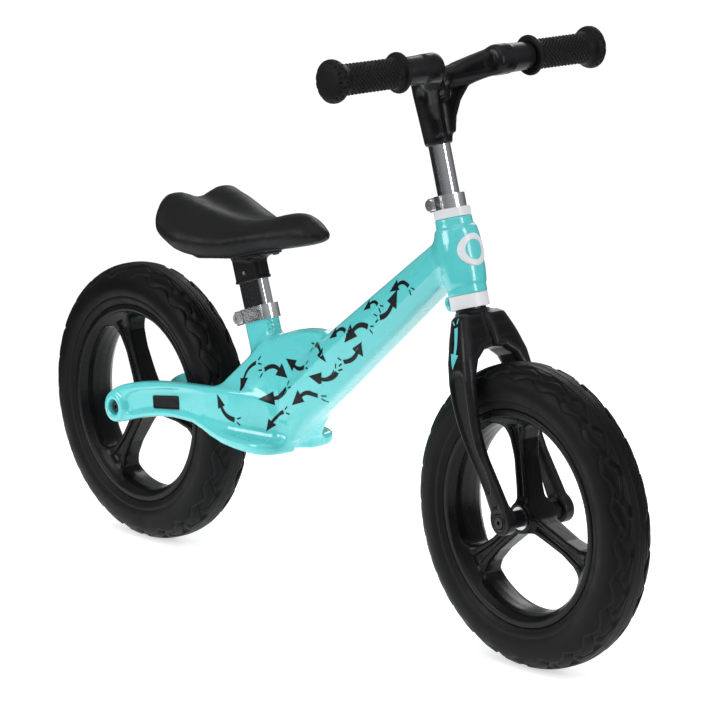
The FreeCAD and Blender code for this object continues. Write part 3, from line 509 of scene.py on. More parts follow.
def beam_field(x, y, z):
    top, shoulder, crease, bottom = (np.interp(x, BEAM_X, line) for line in (
        BEAM_TOP, BEAM_SHOULDER, BEAM_CREASE, BEAM_BOTTOM))
    halves = [np.interp(x, BEAM_X, line) for line in (TOP_HALF, SHOULDER_HALF, CREASE_HALF, BOTTOM_HALF)]
    half = halves[0]
    for i, (upper, lower) in enumerate(((top, shoulder), (shoulder, crease), (crease, bottom))):
        half = half + (halves[i + 1] - halves[i]) * np.clip((upper - z) / (upper - lower), 0, 1)
    sides = (np.abs(y) - half) * 0.95
    rim = np.maximum(z - top, bottom - z) * BEAM_SLOPE
    return both(both(sides, rim, 6), between(x, -52, 196), 4)


def stay_field(x, y, z):
    """Both chainstays, with a boss at the axle and a channel along the outside of each."""
    outer = np.interp(x, (-300, -272, -235, -150, -115, -60), (48.4, 45, 43.5, STAY_OUTER, 39, 26))
    inner = np.interp(x, (-130, -60), (STAY_INNER, 14))
    side = np.abs(y)
    stay = both(outline(x, z, STAY), between(side, inner, outer), 5)
    around = np.hypot(x - REAR_AXLE.x, z - REAR_AXLE.z)
    boss = both(around - BOSS_RADIUS, between(side, STAY_INNER, 49.4), 2.5)
    stay = either(stay, boss, 5)
    depth = np.interp(x, STAY_RECESS_X, STAY_RECESS_DEPTH)
    channel = both(outline(x, z, STAY_RECESS), outer - depth - side, 3)
    channel = both(channel, BOSS_RADIUS + 2 - around, 3)
    return without(stay, channel, 2.5)


def rest_field(x, y, z):
    """The footrest: a plate with a raised lip, and ribs across it outside the stays."""
    edge = outline(x, np.abs(y), REST_PLAN)
    bottom = np.interp(x, REST_BOTTOM_X, REST_BOTTOM)
    plate = both(edge, between(z, bottom, REST_TOP), 5)
    ribs = RIB_HEIGHT * np.sin(2 * math.pi * (x + 50) / RIB_PITCH)
    floor = both(both(edge + REST_LIP, 43 - np.abs(y), 3), REST_TOP - 1.3 + ribs - z, 1.5)
    return without(plate, floor, 1.5)


def frame_field(x, y, z):
    """The whole casting: body, footrest, stays, seat tube, beam, head tube and hook, with their bores."""
    side = np.abs(y)
    s, t = along(HEAD_AXIS, HEAD_FOOT, x, z)
    u, v = along(SEAT_AXIS, SEAT_FOOT, x, z)
    around_head = np.hypot(s, y)
    around_rear = np.hypot(x - REAR_AXLE.x, z - REAR_AXLE.z)

    half = either(np.interp(z, BODY_HEIGHTS, BODY_HALF), np.interp(x, WAIST_X, WAIST_HALF), 6)
    body = both(outline(x, z, BODY), (side - half) * 0.93, 7)
    body = either(body, rest_field(x, y, z), 9)
    body = either(body, stay_field(x, y, z), 7)
    body = either(body, both(slab(u, y, *SEAT_TUBE_OUTSIDE), between(v, *SEAT_TUBE), 1.5), 9)
    body = either(body, beam_field(x, y, z), 4)

    barrel = both((around_head - np.interp(t, HEAD_T, HEAD_RADIUS)) * 0.96, between(t, *HEAD_TUBE), 1.5)
    body = either(body, barrel, 8)

    hook_ring = np.hypot(s - HOOK_MIDDLE[0], t - HOOK_MIDDLE[1])
    hook = both(np.abs(hook_ring - HOOK_RADIUS) - HOOK_HALF, both(side - 4.5, t - 354 + 0.5 * s + 10, 1), 1.5)
    body = either(body, hook, 3)

    body = without(body, both(around_rear - TYRE_ROOM, side - STAY_INNER, 4), 4)
    body = without(body, both(slab(u, y, *SEAT_BORE), SEAT_TUBE[0] + 2 - v, 1), 1)
    body = without(body, around_head - HEAD_BORE, 1)
    return without(body, both(around_rear - AXLE_BOLT_BORE, AXLE_BOLT_SEAT - side, 1), 1.5)


def frame_piece():
    low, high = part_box("frame")
    low, high = low / MM, high / MM
    return cast("bike_frame", frame_field, low, high, step=1.6)


# ------------------------ arrows

SHAFT_STEPS, SHAFT_TAPER = 10, 0.35  # how much of its width the shaft loses
TIP_ROWS, TIP_LENGTH = 4, 1.3  # the head's length over its width


def arrow(start, bend, end, width, head):
    """A flat arrow whose shaft follows a curve with one bend, as points and faces in a plane."""
    start, bend, end = Vector(start), Vector(bend), Vector(end)
    points, faces = [], []
    for i in range(SHAFT_STEPS + 1):
        share = i / SHAFT_STEPS
        centre = start * (1 - share) ** 2 + bend * 2 * share * (1 - share) + end * share ** 2
        run = ((bend - start) * (1 - share) + (end - bend) * share).normalized()
        across = Vector((-run.y, run.x)) * width / 2 * (1 - SHAFT_TAPER * share)
        points += [centre - across, centre, centre + across]
    run = (end - bend).normalized()
    across = Vector((-run.y, run.x))
    for i in range(SHAFT_STEPS):
        a = 3 * i
        faces += [(a, a + 3, a + 4, a + 1), (a + 1, a + 4, a + 5, a + 2)]
    base = len(points)
    for i in range(TIP_ROWS + 1):
        share = i / TIP_ROWS
        for j in range(-2, 3):
            points.append(end + run * (head * TIP_LENGTH) * share + across * (head / 2) * (1 - share) * j / 2)
    for i in range(TIP_ROWS):
        for j in range(4):
            a = base + 5 * i + j
            faces.append((a, a + 5, a + 6, a + 1))
    return points, faces


def dash(start, end, width):
    """A short straight stroke, as points and faces in a plane."""
    start, end = Vector(start), Vector(end)
    run = (end - start).normalized()
    across = Vector((-run.y, run.x)) * width / 2
    points = [start.lerp(end, share) + across * side for share in (0, 0.5, 1) for side in (-1, 0, 1)]
    return points, [(i + j, i + j + 3, i + j + 4, i + j + 1) for i in (0, 3) for j in (0, 1)]


# each arrow: where it starts, bends and ends on the side of the frame, shaft width and head width
ARROWS = [
    ((138, 340), (131, 346), (122, 339), 4.5, 11), ((114, 318), (108, 306), (97, 303), 5.5, 14),
    ((94, 315), (87, 319), (80, 313), 3.5, 9), ((80, 291), (68, 294), (59, 284), 6, 15),
    ((62, 262), (55, 252), (44, 250), 4.5, 12), ((47, 281), (38, 284), (30, 277), 4, 10),
    ((32, 238), (24, 227), (12, 227), 5.5, 14), ((8, 254), (0, 260), (-9, 256), 4.5, 11),
    ((2, 208), (-9, 213), (-18, 205), 5.5, 14), ((-16, 234), (-26, 228), (-36, 231), 4.5, 12),
    ((-58, 224), (-69, 228), (-78, 220), 5, 13), ((-40, 208), (-48, 197), (-59, 195), 5.5, 14),
    ((-94, 224), (-105, 218), (-103, 208), 4, 11), ((-124, 176), (-119, 167), (-106, 166), 5.5, 11),
    ((-44, 184), (-54, 180), (-60, 171), 4, 10),
]
DASH_WIDTH, DASH_TURNS, DASH_REACH = 1.4, (-0.5, 0.5), (3.5, 8.5)
WELL_OUTSIDE = 90  # further from the middle plane than any printed surface
INK_LIFT = 0.00025  # metres


def arrow_marks(arrows):
    """Every arrow, each third one turned round, with two dashes that fan out behind it."""
    for i, (start, bend, end, width, head) in enumerate(arrows):
        if i % 3 == 1:
            start, end = end, start
        yield arrow(start, bend, end, width, head)
        back = (Vector(start) - Vector(bend)).normalized()
        for turn in DASH_TURNS:
            away = Matrix.Rotation(turn, 2) @ back
            yield dash(*(Vector(start) + away * far for far in DASH_REACH), DASH_WIDTH)


def printed(name, onto, arrows, place=Matrix.Identity(4)):
    """Arrows laid as thin sheets on both sides of a piece."""
    bpy.context.view_layer.update()
    surface = BVHTree.FromObject(onto, bpy.context.evaluated_depsgraph_get())
    points, faces = [], []
    for side in (-1, 1):
        for flat, quads in arrow_marks(arrows):
            offset = len(points)
            inwards = Vector((0, -side, 0))
            hits = [surface.ray_cast(place @ Vector((p.x, side * WELL_OUTSIDE, p.y)) * MM, inwards)
                    for p in flat]
            points += [(place_hit + normal * INK_LIFT) / MM for place_hit, normal, *_ in hits]
            faces += [tuple(offset + i for i in (q if side < 0 else q[::-1])) for q in quads]
    piece = mesh_piece(name, points, faces)
    sheet = bmesh.new()
    sheet.from_mesh(piece.data)
    bmesh.ops.remove_doubles(sheet, verts=sheet.verts, dist=1e-6)
    sheet.to_mesh(piece.data)
    sheet.free()
    return piece


# ------------------------ fork

BLADE_SIDE = rounded([(18, 340.5), (23.5, 320), (27.5, 290), (25, 262), (20.8, 234), (23, 208),
                      (31, 183), (38.5, 160), (42, 148), (36, 134), (24, 136), (18.5, 152),
                      (13.5, 180), (2.5, 208), (-4.5, 234), (-6.8, 263), (-5, 290), (-3.5, 318),
                      (-3, 340.5)], 1)
BLADE_FRONT = [(0, 340.5), (22, 340.5), (26, 337), (33.5, 317), (39.5, 296), (BLADE_OUTER, 276),
               (BLADE_OUTER, 120), (BLADE_INNER, 120), (BLADE_INNER, 268), (28.5, 280), (22, 294),
               (12, 302), (0, 304)]
BLADE_CHANNEL = rounded([(2, 286), (17, 286), (19, 276), (14.5, 234), (17, 210), (27.5, 180),
                         (26, 170), (19, 172), (7.5, 206), (0.5, 236), (-1.8, 264)], 2)


def fork_field(s, y, t):
    """Crown and two blades, in the steering axis's frame."""
    side = np.abs(y)
    fork = both(outline(s, t, BLADE_SIDE), outline(side, t, BLADE_FRONT), 7)
    boss = both(np.hypot(s, y) - 15.8, between(t, 309, 340.5), 2)
    fork = either(fork, boss, 7)
    around = np.hypot(s - AXLE_S, t - AXLE_T)
    dropout = both(around - 12.5, between(side, BLADE_INNER, 42.6), 3)
    fork = either(fork, dropout, 4)
    channel = both(outline(s, t, BLADE_CHANNEL), BLADE_OUTER - 3 - side, 2.5)
    fork = without(fork, channel, 2)
    ring = both(between(around, 7.6, 10.6), 41.7 - side, 1)
    fork = without(fork, ring, 0.8)
    fork = without(fork, both(around - 6.2, 39.1 - side, 0.6), 1)
    return without(fork, both(np.hypot(s, y) - 12.7, 318 - t, 1), 1)


def fork_piece():
    low, high = (-17, -43, AXLE_T - 14), (45, 43, 342)
    return cast("bike_fork", fork_field, low, high, step=1.15, place=ON_HEAD)


# a plain downward arrow, printed on the outside of each blade
FORK_ARROW = [((9, 327), (12, 314), (9, 303), 5, 11)]


# ------------------------ handlebar

# the arms climb from the socket to the sleeves, which carry the grips
ARM_PATH = [(-4, 3), (4, 7), (10, 14), (35, 49), (42, 56), (50, BAR_SWEEP), (90, BAR_SWEEP)]
ARM_SIDE, ARM_TOP = (0, 13, 20, 31, 40), (566, 568, 573, 576.5, 579)
ARM_BOTTOM = 552.5
WEB_EDGE = [(-5, 506), (9, 508), (11, 522), (15, 536), (21, 548), (31, 554), (31, 566), (-5, 566)]
SOCKET_T, SOCKET_RADIUS = (498, 500, 528, 548, 570), (12.8, 13.4, 14.6, 15.6, 15.6)
SOCKET = (498, 569)
SLEEVE_SIDE, SLEEVE_RADIUS = (40, 70, 80), (14.2, 13.4, 12.6)
BAR_RADIUS, BAR_END = 11, 152.9
STEM_BORE, STEM_TOP = 10.5, 548

def handlebar_field(s, y, t):
    """Socket, spine, arms, web, sleeves and the bar inside the grips, in the steering axis's frame."""
    side = np.abs(y)
    plan = path_distance(side, s, ARM_PATH)
    top = np.interp(side, ARM_SIDE, ARM_TOP)
    arm = both(both(plan - 10.5, between(t, ARM_BOTTOM, top) * 0.95, 6), side - 52, 2)
    around = np.hypot(s - BAR_SWEEP, t - BAR_HEIGHT)
    sleeve_radius = np.interp(side, SLEEVE_SIDE, SLEEVE_RADIUS)
    sleeve = both(around - sleeve_radius, between(side, 33, GRIP_START + 4), 6)
    bar = both(around - BAR_RADIUS, between(side, 60, BAR_END), 1)
    web = both(plan - 5, outline(side, t, WEB_EDGE), 4)
    socket = both(np.hypot(s, y) - np.interp(t, SOCKET_T, SOCKET_RADIUS), between(t, *SOCKET), 5)
    spine = both(slab(s - 11, y, 12, 7.5, 7), between(t, 540, 568), 6)
    casting = either(either(socket, spine, 6), arm, 9)
    casting = either(casting, web, 6)
    casting = either(either(casting, sleeve, 3), bar, 0.6)
    return without(casting, both(np.hypot(s, y) - STEM_BORE, t - STEM_TOP, 0.6), 1)


def handlebar_piece():
    low, high = (-17, -153, 497), (72, 153, 581)
    return cast("bike_handlebar", handlebar_field, low, high, step=1.2, place=ON_HEAD)


# ------------------------ turned pieces

def turned(name, rows, around, radius_at, place):
    """A closed mesh round an axis. Row i of (distance along, radius) points; radius_at adds relief."""
    angles = np.linspace(0, 2 * math.pi, around, endpoint=False)
    lengths = np.array([row[0] for row in rows])[:, None] + 0 * angles
    radii = radius_at(lengths, np.array([row[1] for row in rows])[:, None] + 0 * angles, angles)
    points = np.stack([radii * np.cos(angles), lengths, radii * np.sin(angles)], 2).reshape(-1, 3)
    count = len(rows)
    i, j = np.meshgrid(np.arange(count - 1), np.arange(around), indexing="ij")
    here, beside = i * around + j, i * around + (j + 1) % around
    faces = np.stack([here, beside, beside + around, here + around], 2).reshape(-1, 4)
    return mesh_piece(name, points, faces, place)


def spaced(points, step):
    """Points at an even step along a line of corner points."""
    line = np.array(points, float)
    gaps = np.hypot(*np.diff(line, axis=0).T)
    marks = np.concatenate([[0], np.cumsum(gaps)])
    wanted = np.linspace(0, marks[-1], max(2, round(marks[-1] / step)))
    return np.stack([np.interp(wanted, marks, line[:, k]) for k in (0, 1)], 1)


# ------------------------ grips

GRIP_PITCH = 4.3  # from one knurl to the next
KNURL_DEPTH, DIMPLE_DEPTH = 1.1, 1.4
GRIP_RADIUS = 14.5


def grip_relief(length, radius, angles):
    """Diamond knurl on the sleeve and rows of round dimples on the mushroom end."""
    turns = round(2 * math.pi * GRIP_RADIUS / GRIP_PITCH)
    p, q = turns * angles / 2, math.pi * length / GRIP_PITCH
    knurl = np.abs(np.sin(p + q)) * np.abs(np.sin(p - q))
    on_sleeve = np.clip((length - 89) / 2, 0, 1) * np.clip((147 - length) / 2, 0, 1)
    relief = radius - KNURL_DEPTH * on_sleeve * (1 - knurl) ** 2
    dots = np.cos(14 * angles) * np.cos(2 * math.pi * (length - 159.5) / 7)
    on_end = np.clip((length - 153.5) / 1.5, 0, 1) * np.clip((165.2 - length) / 1, 0, 1)
    return relief - DIMPLE_DEPTH * on_end * np.clip(dots * 2.6 - 0.7, 0, 1)


def grip_piece(name, sign):
    profile = smoothed([(GRIP_START + 3, 11.2), (GRIP_START + 0.2, 12.5), (GRIP_START, 16.5),
                        (GRIP_START + 0.4, 18.9), (GRIP_START + 2.4, 19.4), (GRIP_START + 4.4, 18.6),
                        (GRIP_START + 5.2, 15.6), (GRIP_START + 8, 14.5), (100, 14.5), (140, 14.6),
                        (148, 14.9), (152, 17), (154.5, 19.6), (158.5, 20.5), (162, 19.8),
                        (164.6, 16.5), (165.7, 11), (166, 5), (166, 0.4)], 2)
    rows = spaced(profile, 0.42)
    flip = Matrix.Scale(sign, 4, Vector((0, 1, 0)))
    place = ON_HEAD @ Matrix.Translation((BAR_SWEEP, 0, BAR_HEIGHT)) @ flip
    piece = turned(name, rows, around=264, radius_at=grip_relief, place=place)
    if sign > 0:
        piece.data.flip_normals()
    return piece


# ------------------------ wheels

TREAD_MOTIFS = 24
GROOVE_DEPTH, POCKET_DEPTH, FINE_DEPTH, FINE_PITCH = 2.4, 3.2, 0.6, 2.6


def tyre_relief(length, radius, angles):
    """Leaf-shaped pockets along each shoulder, fine grooves round the middle of the tread."""
    side = np.abs(length)
    pitch = 2 * math.pi / TREAD_MOTIFS
    shift = np.where(length > 0, 0.5, 0)
    phase = 2 * math.pi * (angles / pitch + shift)
    outwards = np.clip((radius - 112) / 6, 0, 1)
    wave = 2.6 * np.sin(phase + 0.22 * (side - 14))
    upper = 11.2 + wave
    lower = 20.2 + 1.7 * np.sin(phase + 1.1)
    groove = np.exp(-((side - upper) / 0.9) ** 2) + 0.9 * np.exp(-((side - lower) / 1.0) ** 2) * outwards
    leaf = np.clip(np.sin(phase - 0.35 * (side - 15)) * 3.2 - 0.8, 0, 1)
    inside = np.clip((side - upper) / 1.2, 0, 1) * np.clip((lower - side) / 1.2, 0, 1)
    centre = np.clip((9.0 - side) / 1, 0, 1)
    fine = np.clip(np.cos(2 * math.pi * side / FINE_PITCH) * 2 - 1, 0, 1) * centre
    return radius - GROOVE_DEPTH * np.clip(groove, 0, 1) - POCKET_DEPTH * leaf * inside - FINE_DEPTH * fine


def tyre_piece(name, axle):
    half = reach("front_tyre", 1)
    profile = [(16.5, 102.5), (20.6, 103.5), (21.3, 106), (22.6, 108.6), (23.2, 111), (22.7, 112.2),
               (23.6, 114), (half, 119), (half, 124), (24.2, 129.5), (22.3, 134.5), (19.5, 138.6),
               (15, 142), (10, 144), (5, 144.9), (0, TYRE_RADIUS)]
    half_rows = spaced(smoothed(profile, 2), 0.95)
    mirrored = [(-a, b) for a, b in half_rows[:-1]] + [tuple(row) for row in half_rows[::-1]]
    bore = [(a, 102.5) for a in np.linspace(16.5, -16.5, 12)[1:]]
    rows = mirrored + bore
    return turned(name, rows, around=792, radius_at=tyre_relief, place=Matrix.Translation(axle))


RIM_RADIUS, RIM_HALF = 103, 21
SPOKE_SIDE = [(-8, -9.6), (-8, 9.6), (26, 7.6), (55, 7.2), (74, 9.5), (86, 15), (97, 27), (97, -27),
              (86, -15), (74, -9.5), (55, -7.2), (26, -7.6)]


def rim_field(x, y, z):
    """A three-spoked rim about its own axle, its first spoke along +X."""
    around = np.hypot(x, z)
    side = np.abs(y)
    bore = np.interp(side, (0, 9, 15, 18.5, 21), (90, 90.6, 92.4, 95.2, 97.6))
    band = both(between(around, bore, RIM_RADIUS), side - RIM_HALF, 2)
    lip = both(between(around, 96.6, RIM_RADIUS), between(side, 18.8, RIM_HALF), 1)
    wheel = either(band, lip, 1)
    spokes = np.inf
    for i in range(3):
        turn = 2 * math.pi * i / 3
        out = x * math.cos(turn) + z * math.sin(turn)
        across = -x * math.sin(turn) + z * math.cos(turn)
        depth = np.interp(out, (10, 30, 60, 80, 92), (12.5, 11.3, 10.4, 11, 14))
        spoke = both(outline(out, across, SPOKE_SIDE), side - depth, 3.5)
        half_groove = np.interp(out, (20, 60, 84, 92), (2.0, 2.4, 4.5, 9))
        groove = both(between(out, 19, 88), np.abs(across) - half_groove, 1.5)
        groove = both(groove, depth - 3.2 - side, 1.5)
        spoke = without(spoke, groove, 1.5)
        spokes = np.minimum(spokes, spoke)
    wheel = either(wheel, spokes, 7)
    hub = both(around - 15, side - 17, 2)
    wheel = either(wheel, hub, 6)
    return without(wheel, around - 10.9, 1)


def rim_mesh():
    """The mesh that both rims are copied from."""
    size = (RIM_RADIUS, RIM_HALF, RIM_RADIUS)
    piece = cast("rim_shape", rim_field, [-a for a in size], size, step=1.3)
    mesh = piece.data
    bpy.data.objects.remove(piece)
    return mesh


def rim_piece(name, mesh, axle, degrees):
    """A copy of the rim on an axle, its first spoke raised from +X by an angle."""
    mesh = mesh.copy()
    turn = Matrix.Rotation(math.radians(-degrees), 4, "Y")
    mesh.transform(Matrix.Translation(axle * MM) @ turn)
    return added(name, mesh)


# ------------------------ saddle

# sections from the back forwards: distance forward, height of the underside, half width there,
# widest half width and its height, half width and height of the top edge, height of the middle
SADDLE = [(-223, 357, 20, 36, 364, 28, 375, 368), (-214, 344, 42, 56, 357, 35, 382, 369),
          (-191, 331, 55, 67, 350, 35, 379, 365), (-152, 326, 54, 65.5, 347, 27.5, 369.5, 361),
          (-118, 329.5, 42, 53, 348, 19, 364.5, 361), (-88, 338.5, 28, 37, 354, 14, 369, 367),
          (-58, 345.5, 21, 28, 360, 11, 377, 377), (-30, 352.5, 15, 21, 364, 9, 379, 380),
          (-9, 359, 7, 11, 363, 5, 369, 370)]


def saddle_piece():
    """The cushion, lofted through the sections and padded out."""
    stations = np.array(SADDLE, float)
    positions = np.linspace(stations[0, 0], stations[-1, 0], 70)
    columns = [smooth_through(stations[:, 0], stations[:, k], positions) for k in range(1, 8)]
    rings = []
    for forward, bottom, low, wide, wide_z, top, top_z, mid_z in zip(positions, *columns):
        half = [(0, bottom), (low * 0.7, bottom), (low, bottom + 2), (wide, wide_z),
                (top * 1.25, top_z - 2.5), (top * 0.72, top_z), (0, mid_z)]
        loop = half + [(-y, z) for y, z in half[-2:0:-1]]
        rings.append([(forward, y, z) for y, z in rounded(loop, 2)])
    count = len(rings[0])
    points = [p for ring in rings for p in ring]
    faces = [(i * count + j, i * count + (j + 1) % count,
              (i + 1) * count + (j + 1) % count, (i + 1) * count + j)
             for i in range(len(rings) - 1) for j in range(count)]
    for ring, outwards in ((0, -1), (len(rings) - 1, 1)):
        tip = np.mean(rings[ring], 0) + np.array((outwards * 1.5, 0, 0))
        points.append(tuple(tip))
        for j in range(count):
            edge = (ring * count + j, ring * count + (j + 1) % count)
            faces.append((*(edge if outwards > 0 else edge[::-1]), len(points) - 1))
    piece = mesh_piece("saddle_cushion", points, faces)
    pad_out(piece)
    return piece


def smooth_through(xs, ys, wanted):
    """A smooth curve through points, evaluated where wanted."""
    slopes = np.gradient(ys, xs)
    place = np.clip(np.searchsorted(xs, wanted) - 1, 0, len(xs) - 2)
    width = xs[place + 1] - xs[place]
    share = (wanted - xs[place]) / width
    return ((1 + 2 * share) * (1 - share) ** 2 * ys[place]
            + share * (1 - share) ** 2 * width * slopes[place]
            + share ** 2 * (3 - 2 * share) * ys[place + 1]
            + share ** 2 * (share - 1) * width * slopes[place + 1])


def pad_out(piece, most=0.0016):
    """Swells the cushion as cloth under pressure, never by more than most, then smooths it."""
    bpy.context.view_layer.objects.active = piece
    remesh = piece.modifiers.new("even", "REMESH")
    remesh.mode = "VOXEL"
    remesh.voxel_size = 0.004
    bpy.ops.object.modifier_apply(modifier="even")
    before = np.array([v.co for v in piece.data.vertices])
    cloth = piece.modifiers.new("cloth", "CLOTH")
    cloth.settings.use_pressure = True
    cloth.settings.uniform_pressure_force = 4
    cloth.settings.effector_weights.gravity = 0
    for at in range(1, 21):
        bpy.context.scene.frame_set(at)
    bpy.ops.object.modifier_apply(modifier="cloth")
    bpy.context.scene.frame_set(1)
    after = np.array([v.co for v in piece.data.vertices])
    move = after - before
    length = np.maximum(np.linalg.norm(move, axis=1), 1e-9)
    after = before + move * np.minimum(1, most / length)[:, None]
    piece.data.vertices.foreach_set("co", after.ravel())
    relax = piece.modifiers.new("relax", "SMOOTH")
    relax.iterations = 6
    bpy.ops.object.modifier_apply(modifier="relax")
    finer = piece.modifiers.new("finer", "SUBSURF")
    finer.levels = finer.render_levels = 1
    bpy.ops.object.modifier_apply(modifier="finer")
    piece.data.shade_smooth()


# ------------------------ under the saddle

PAN_X = (-216, -186, -152, -118, -88, -58, -30, -11)
PAN_BOTTOM = (352, 332, 326, 329.5, 338.5, 346, 353.5, 360)
PAN_HALF = (18, 48, 48, 36, 23, 16, 10, 4)
SOCKET_FOOT = 317.6  # along the seat axis
PLATE_MIDDLE = -126


def pan_field(x, y, z):
    """A thin shell that carries the cushion, with a rim round its edge."""
    under, half = (np.interp(x, PAN_X, line) for line in (PAN_BOTTOM, PAN_HALF))
    shell = both(between(z, under - 1.5, under + 3), (np.abs(y) - half) * 0.8, 1.5)
    return both(shell, between(x, -212, -14), 3)


def socket_field(x, y, z):
    """The socket that the seat post goes into, which flares into a plate under the pan."""
    u, v = along(SEAT_AXIS, SEAT_FOOT, x, z)
    under = np.interp(x, PAN_X, PAN_BOTTOM)
    tube = both(slab(u, y, 20.6, 9.1, 6), SOCKET_FOOT - v, 1.2)
    tube = both(tube, z - under, 1)
    ridge = both(slab(u, y, 21.2, 9.7, 6.3), between(v, SOCKET_FOOT, SOCKET_FOOT + 2.6), 1)
    tube = either(tube, ridge, 0.8)
    plate = both(slab(x - PLATE_MIDDLE, y, 31, 18, 7), between(z, under - 4.5, under - 0.5), 1.5)
    ribs = both(np.abs(np.abs(x - PLATE_MIDDLE + 2) - 12) - 1.5, np.abs(y) - 17, 1)
    ribs = both(ribs, between(z, under - 12 + 0.5 * np.abs(y), under - 2), 1)
    socket = either(either(tube, plate, 7), ribs, 2)
    bore = both(slab(u, y, 18.5, 7, 4.2), v - 336, 1)
    return without(socket, bore, 0.8)


def screw_field(x, y, z):
    """Four pan-headed screws with a cross in each head."""
    under = np.interp(x, PAN_X, PAN_BOTTOM)
    p, q = np.abs(x - PLATE_MIDDLE) - 24, np.abs(y) - 12.5
    head = both(np.hypot(p, q) - 3.3, between(z, under - 6, under - 3), 0.9)
    cross = np.minimum(slab(p, q, 2, 0.45, 0.2), slab(p, q, 0.45, 2, 0.2))
    return without(head, both(cross, z - under + 5, 0.2), 0.3)


def under_saddle():
    """The pan, the socket and the screws that hold them together."""
    pan = cast("saddle_pan", pan_field, (-214, -52, 322), (-12, 52, 362), step=1.5)
    finish(pan, "saddle", "black_plastic", BLACK_PLASTIC, "saddle_base")
    socket = cast("saddle_socket", socket_field, (-160, -22, 292), (-80, 22, 342), step=0.8)
    finish(socket, "saddle", "black_plastic", BLACK_PLASTIC, "saddle_bracket")
    screws = cast("saddle_plate_screws", screw_field, (-156, -18, 318), (-96, 18, 338), step=0.45)
    finish(screws, "saddle", "bolt_black", BOLT_BLACK, "saddle_screws")


# ------------------------ badge and plates

BADGE_HEIGHT = 396.5  # along the head tube's axis
PLATE_CORNERS = [(-236.5, 165.7), (-196, 172.4), (-195, 161.4), (-235.7, 155.2)]
PLATE_ROUNDING = 1.5


def badge_field(low, high, proud, rim):
    """A round shape that wraps the front of the head tube, between two radii."""
    def field(s, y, t):
        out = np.hypot(y, t - BADGE_HEIGHT)
        ring = both(between(out, low, high), np.hypot(s, y) - 20.8 - proud, rim)
        return both(both(ring, 19 - np.hypot(s, y), 0.4), -s, 1)
    return field


def small_pieces():
    """The badge, which is a plain ring with a plain middle, and the two plates on the stays."""
    low, high = (5, -18, BADGE_HEIGHT - 18), (24, 18, BADGE_HEIGHT + 18)
    ring = badge_field(low=9.6, high=15.4, proud=1.9, rim=1.2)
    finish(cast("badge_ring", ring, low, high, step=0.5, place=ON_HEAD),
           "frame", "white_plastic", WHITE, "head_badge")
    inner = badge_field(low=-9.9, high=9.9, proud=1.0, rim=0.8)
    finish(cast("badge_middle", inner, low, high, step=0.5, place=ON_HEAD),
           "frame", "frame_paint", MINT)

    def plate(x, y, z):
        edge = outline(x, z, PLATE_CORNERS) - PLATE_ROUNDING
        face = both(edge, between(np.abs(y), 39, 41.4), 0.7)
        return without(face, both(edge + 1.6, 40.9 - np.abs(y), 0.3), 0.3)

    finish(cast("stay_plates", plate, (-240, -42, 152), (-192, 42, 176), step=0.6),
           "frame", "plate_black", BLACK_PLASTIC, "side_plates")


# ------------------------ stage, lights and camera

FLOOR_HALF = 0.8  # small, so that upright chrome reflects the dark beyond it


def place_stage():
    """A pale square floor that gives off a little light, so that it stays white."""
    mesh = bpy.data.meshes.new("floor")
    corners = [(FLOOR_HALF * x, FLOOR_HALF * y, 0) for x, y in ((-1, -1), (1, -1), (1, 1), (-1, 1))]
    mesh.from_pydata(corners, [], [(0, 1, 2, 3)])
    look = Look("pale_floor", 0.8, Specular_IOR_Level=0.1)
    look.shader.inputs["Base Color"].default_value = (0.93, 0.93, 0.93, 1)
    look.shader.inputs["Emission Color"].default_value = (1, 1, 1, 1)
    look.shader.inputs["Emission Strength"].default_value = 0.55
    mesh.materials.append(look.material)
    added("floor", mesh)


def light_box(name, at, aim, width, height, power):
    """A soft rectangular light at a place, turned towards an aim point."""
    data = bpy.data.lights.new(name, "AREA")
    data.shape = "RECTANGLE"
    data.size, data.size_y = width, height
    data.energy = power
    lamp = added(name, data)
    lamp.location = at
    lamp.rotation_euler = (Vector(aim) - Vector(at)).to_track_quat("-Z", "Y").to_euler()


RANGE_SOCKETS = ("From Min", "From Max", "To Min", "To Max")


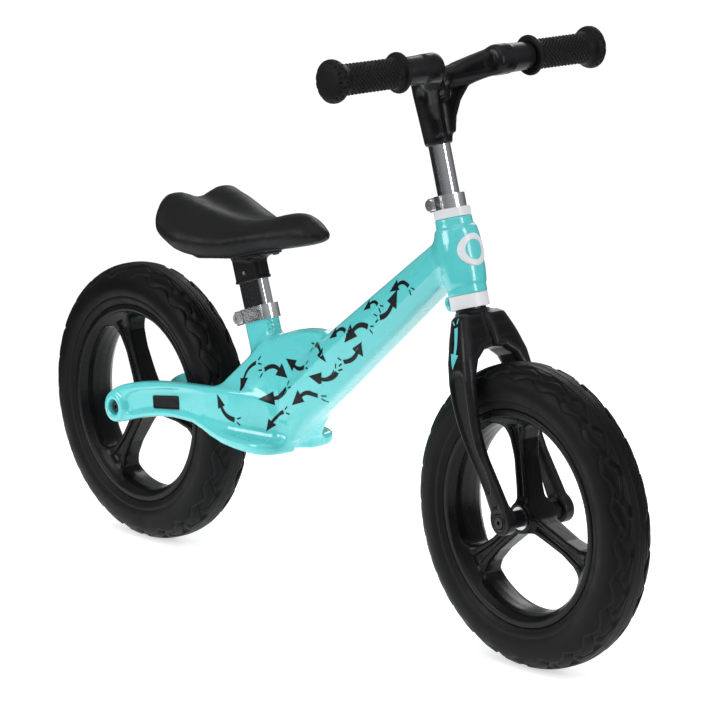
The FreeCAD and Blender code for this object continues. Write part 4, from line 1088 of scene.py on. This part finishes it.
def place_lights():
    """A broad overhead light, three boxes and a grey room that the camera doesn't see."""
    sun = bpy.data.lights.new("sky_box", "SUN")
    sun.energy = 1.15
    sun.angle = math.radians(70)
    added("sky_box", sun).rotation_euler = (math.radians(14), math.radians(16), 0)
    aim = (0, 0, 0.3)
    light_box("right_box", (3.2, 0.6, 1.0), aim, width=0.7, height=2.2, power=42)
    light_box("left_box", (-1.2, -3.0, 1.3), aim, width=1.4, height=1.6, power=48)
    light_box("back_box", (-1.5, 2.6, 2.0), aim, width=1.6, height=1.6, power=28)

    # the camera sees plain white; what lights the bike is a grey room, darker below the horizon
    world = bpy.data.worlds.new("studio")
    bpy.context.scene.world = world
    world.use_nodes = True
    nodes, links = world.node_tree.nodes, world.node_tree.links
    room = nodes["Background"]
    room.inputs["Color"].default_value = (0.96, 0.98, 1, 1)
    split = nodes.new("ShaderNodeSeparateXYZ")
    links.new(nodes.new("ShaderNodeTexCoord").outputs["Generated"], split.inputs[0])
    rise = nodes.new("ShaderNodeMapRange")
    for socket, number in zip(RANGE_SOCKETS, (-0.12, 0.3, 0.03, 0.36)):
        rise.inputs[socket].default_value = number
    links.new(split.outputs["Z"], rise.inputs["Value"])
    links.new(rise.outputs["Result"], room.inputs["Strength"])
    white = nodes.new("ShaderNodeBackground")
    white.inputs["Color"].default_value = (1, 1, 1, 1)
    white.inputs["Strength"].default_value = 1.05
    seen = nodes.new("ShaderNodeLightPath").outputs["Is Camera Ray"]
    mix = nodes.new("ShaderNodeMixShader")
    links.new(seen, mix.inputs["Fac"])
    links.new(room.outputs["Background"], mix.inputs[1])
    links.new(white.outputs["Background"], mix.inputs[2])
    links.new(mix.outputs["Shader"], nodes["World Output"].inputs["Surface"])


def place_camera():
    """Looks at the bike from its right front quarter, from a little above."""
    azimuth, elevation = math.radians(50.146), math.radians(13.2)
    target, distance = Vector((0.0435, 0, 0.2486)), 3.9775
    back = Vector((math.sin(azimuth) * math.cos(elevation), -math.cos(azimuth) * math.cos(elevation),
                   math.sin(elevation)))
    data = bpy.data.cameras.new("camera")
    data.sensor_width = 36
    data.lens = 204.48
    camera = added("camera", data)
    camera.location = target + back * distance
    camera.rotation_euler = (-back).to_track_quat("-Z", "Y").to_euler()
    bpy.context.scene.camera = camera


# ------------------------ the bike

bpy.context.scene.view_settings.view_transform = "Standard"
place_camera()
place_lights()
place_stage()
dress_cad_nodes()

casting = finish(frame_piece(), "frame", "frame_paint", PAINT, "frame")
finish(printed("frame_arrows", casting, ARROWS), "frame", "bolt_black", INK)
fork = finish(fork_piece(), "fork", "black_paint", BLACK_PAINT, "fork")
finish(printed("fork_arrows", fork, FORK_ARROW, ON_HEAD), "fork", "frame_paint", MINT)
finish(handlebar_piece(), "handlebar", "black_paint", BLACK_PAINT, "handlebar")
for side_name, sign in (("left", 1), ("right", -1)):
    node = f"grip_{side_name}"
    finish(grip_piece(f"rubber_{node}", sign), "handlebar", "grip_rubber", GRIP, node)
shared_rim = rim_mesh()
for end, axle, degrees in (("front", FRONT_AXLE, 100), ("rear", REAR_AXLE, 115)):
    finish(tyre_piece(f"{end}_foam_tyre", axle), f"{end}_wheel", "tyre", FOAM, f"{end}_tyre")
    finish(rim_piece(f"{end}_moulded_rim", shared_rim, axle, degrees),
           f"{end}_wheel", "black_plastic_gloss", BLACK_GLOSS, f"{end}_rim")
cushion = finish(saddle_piece(), "saddle", "saddle_skin", SKIN, "saddle_pad")
under_saddle()
small_pieces()
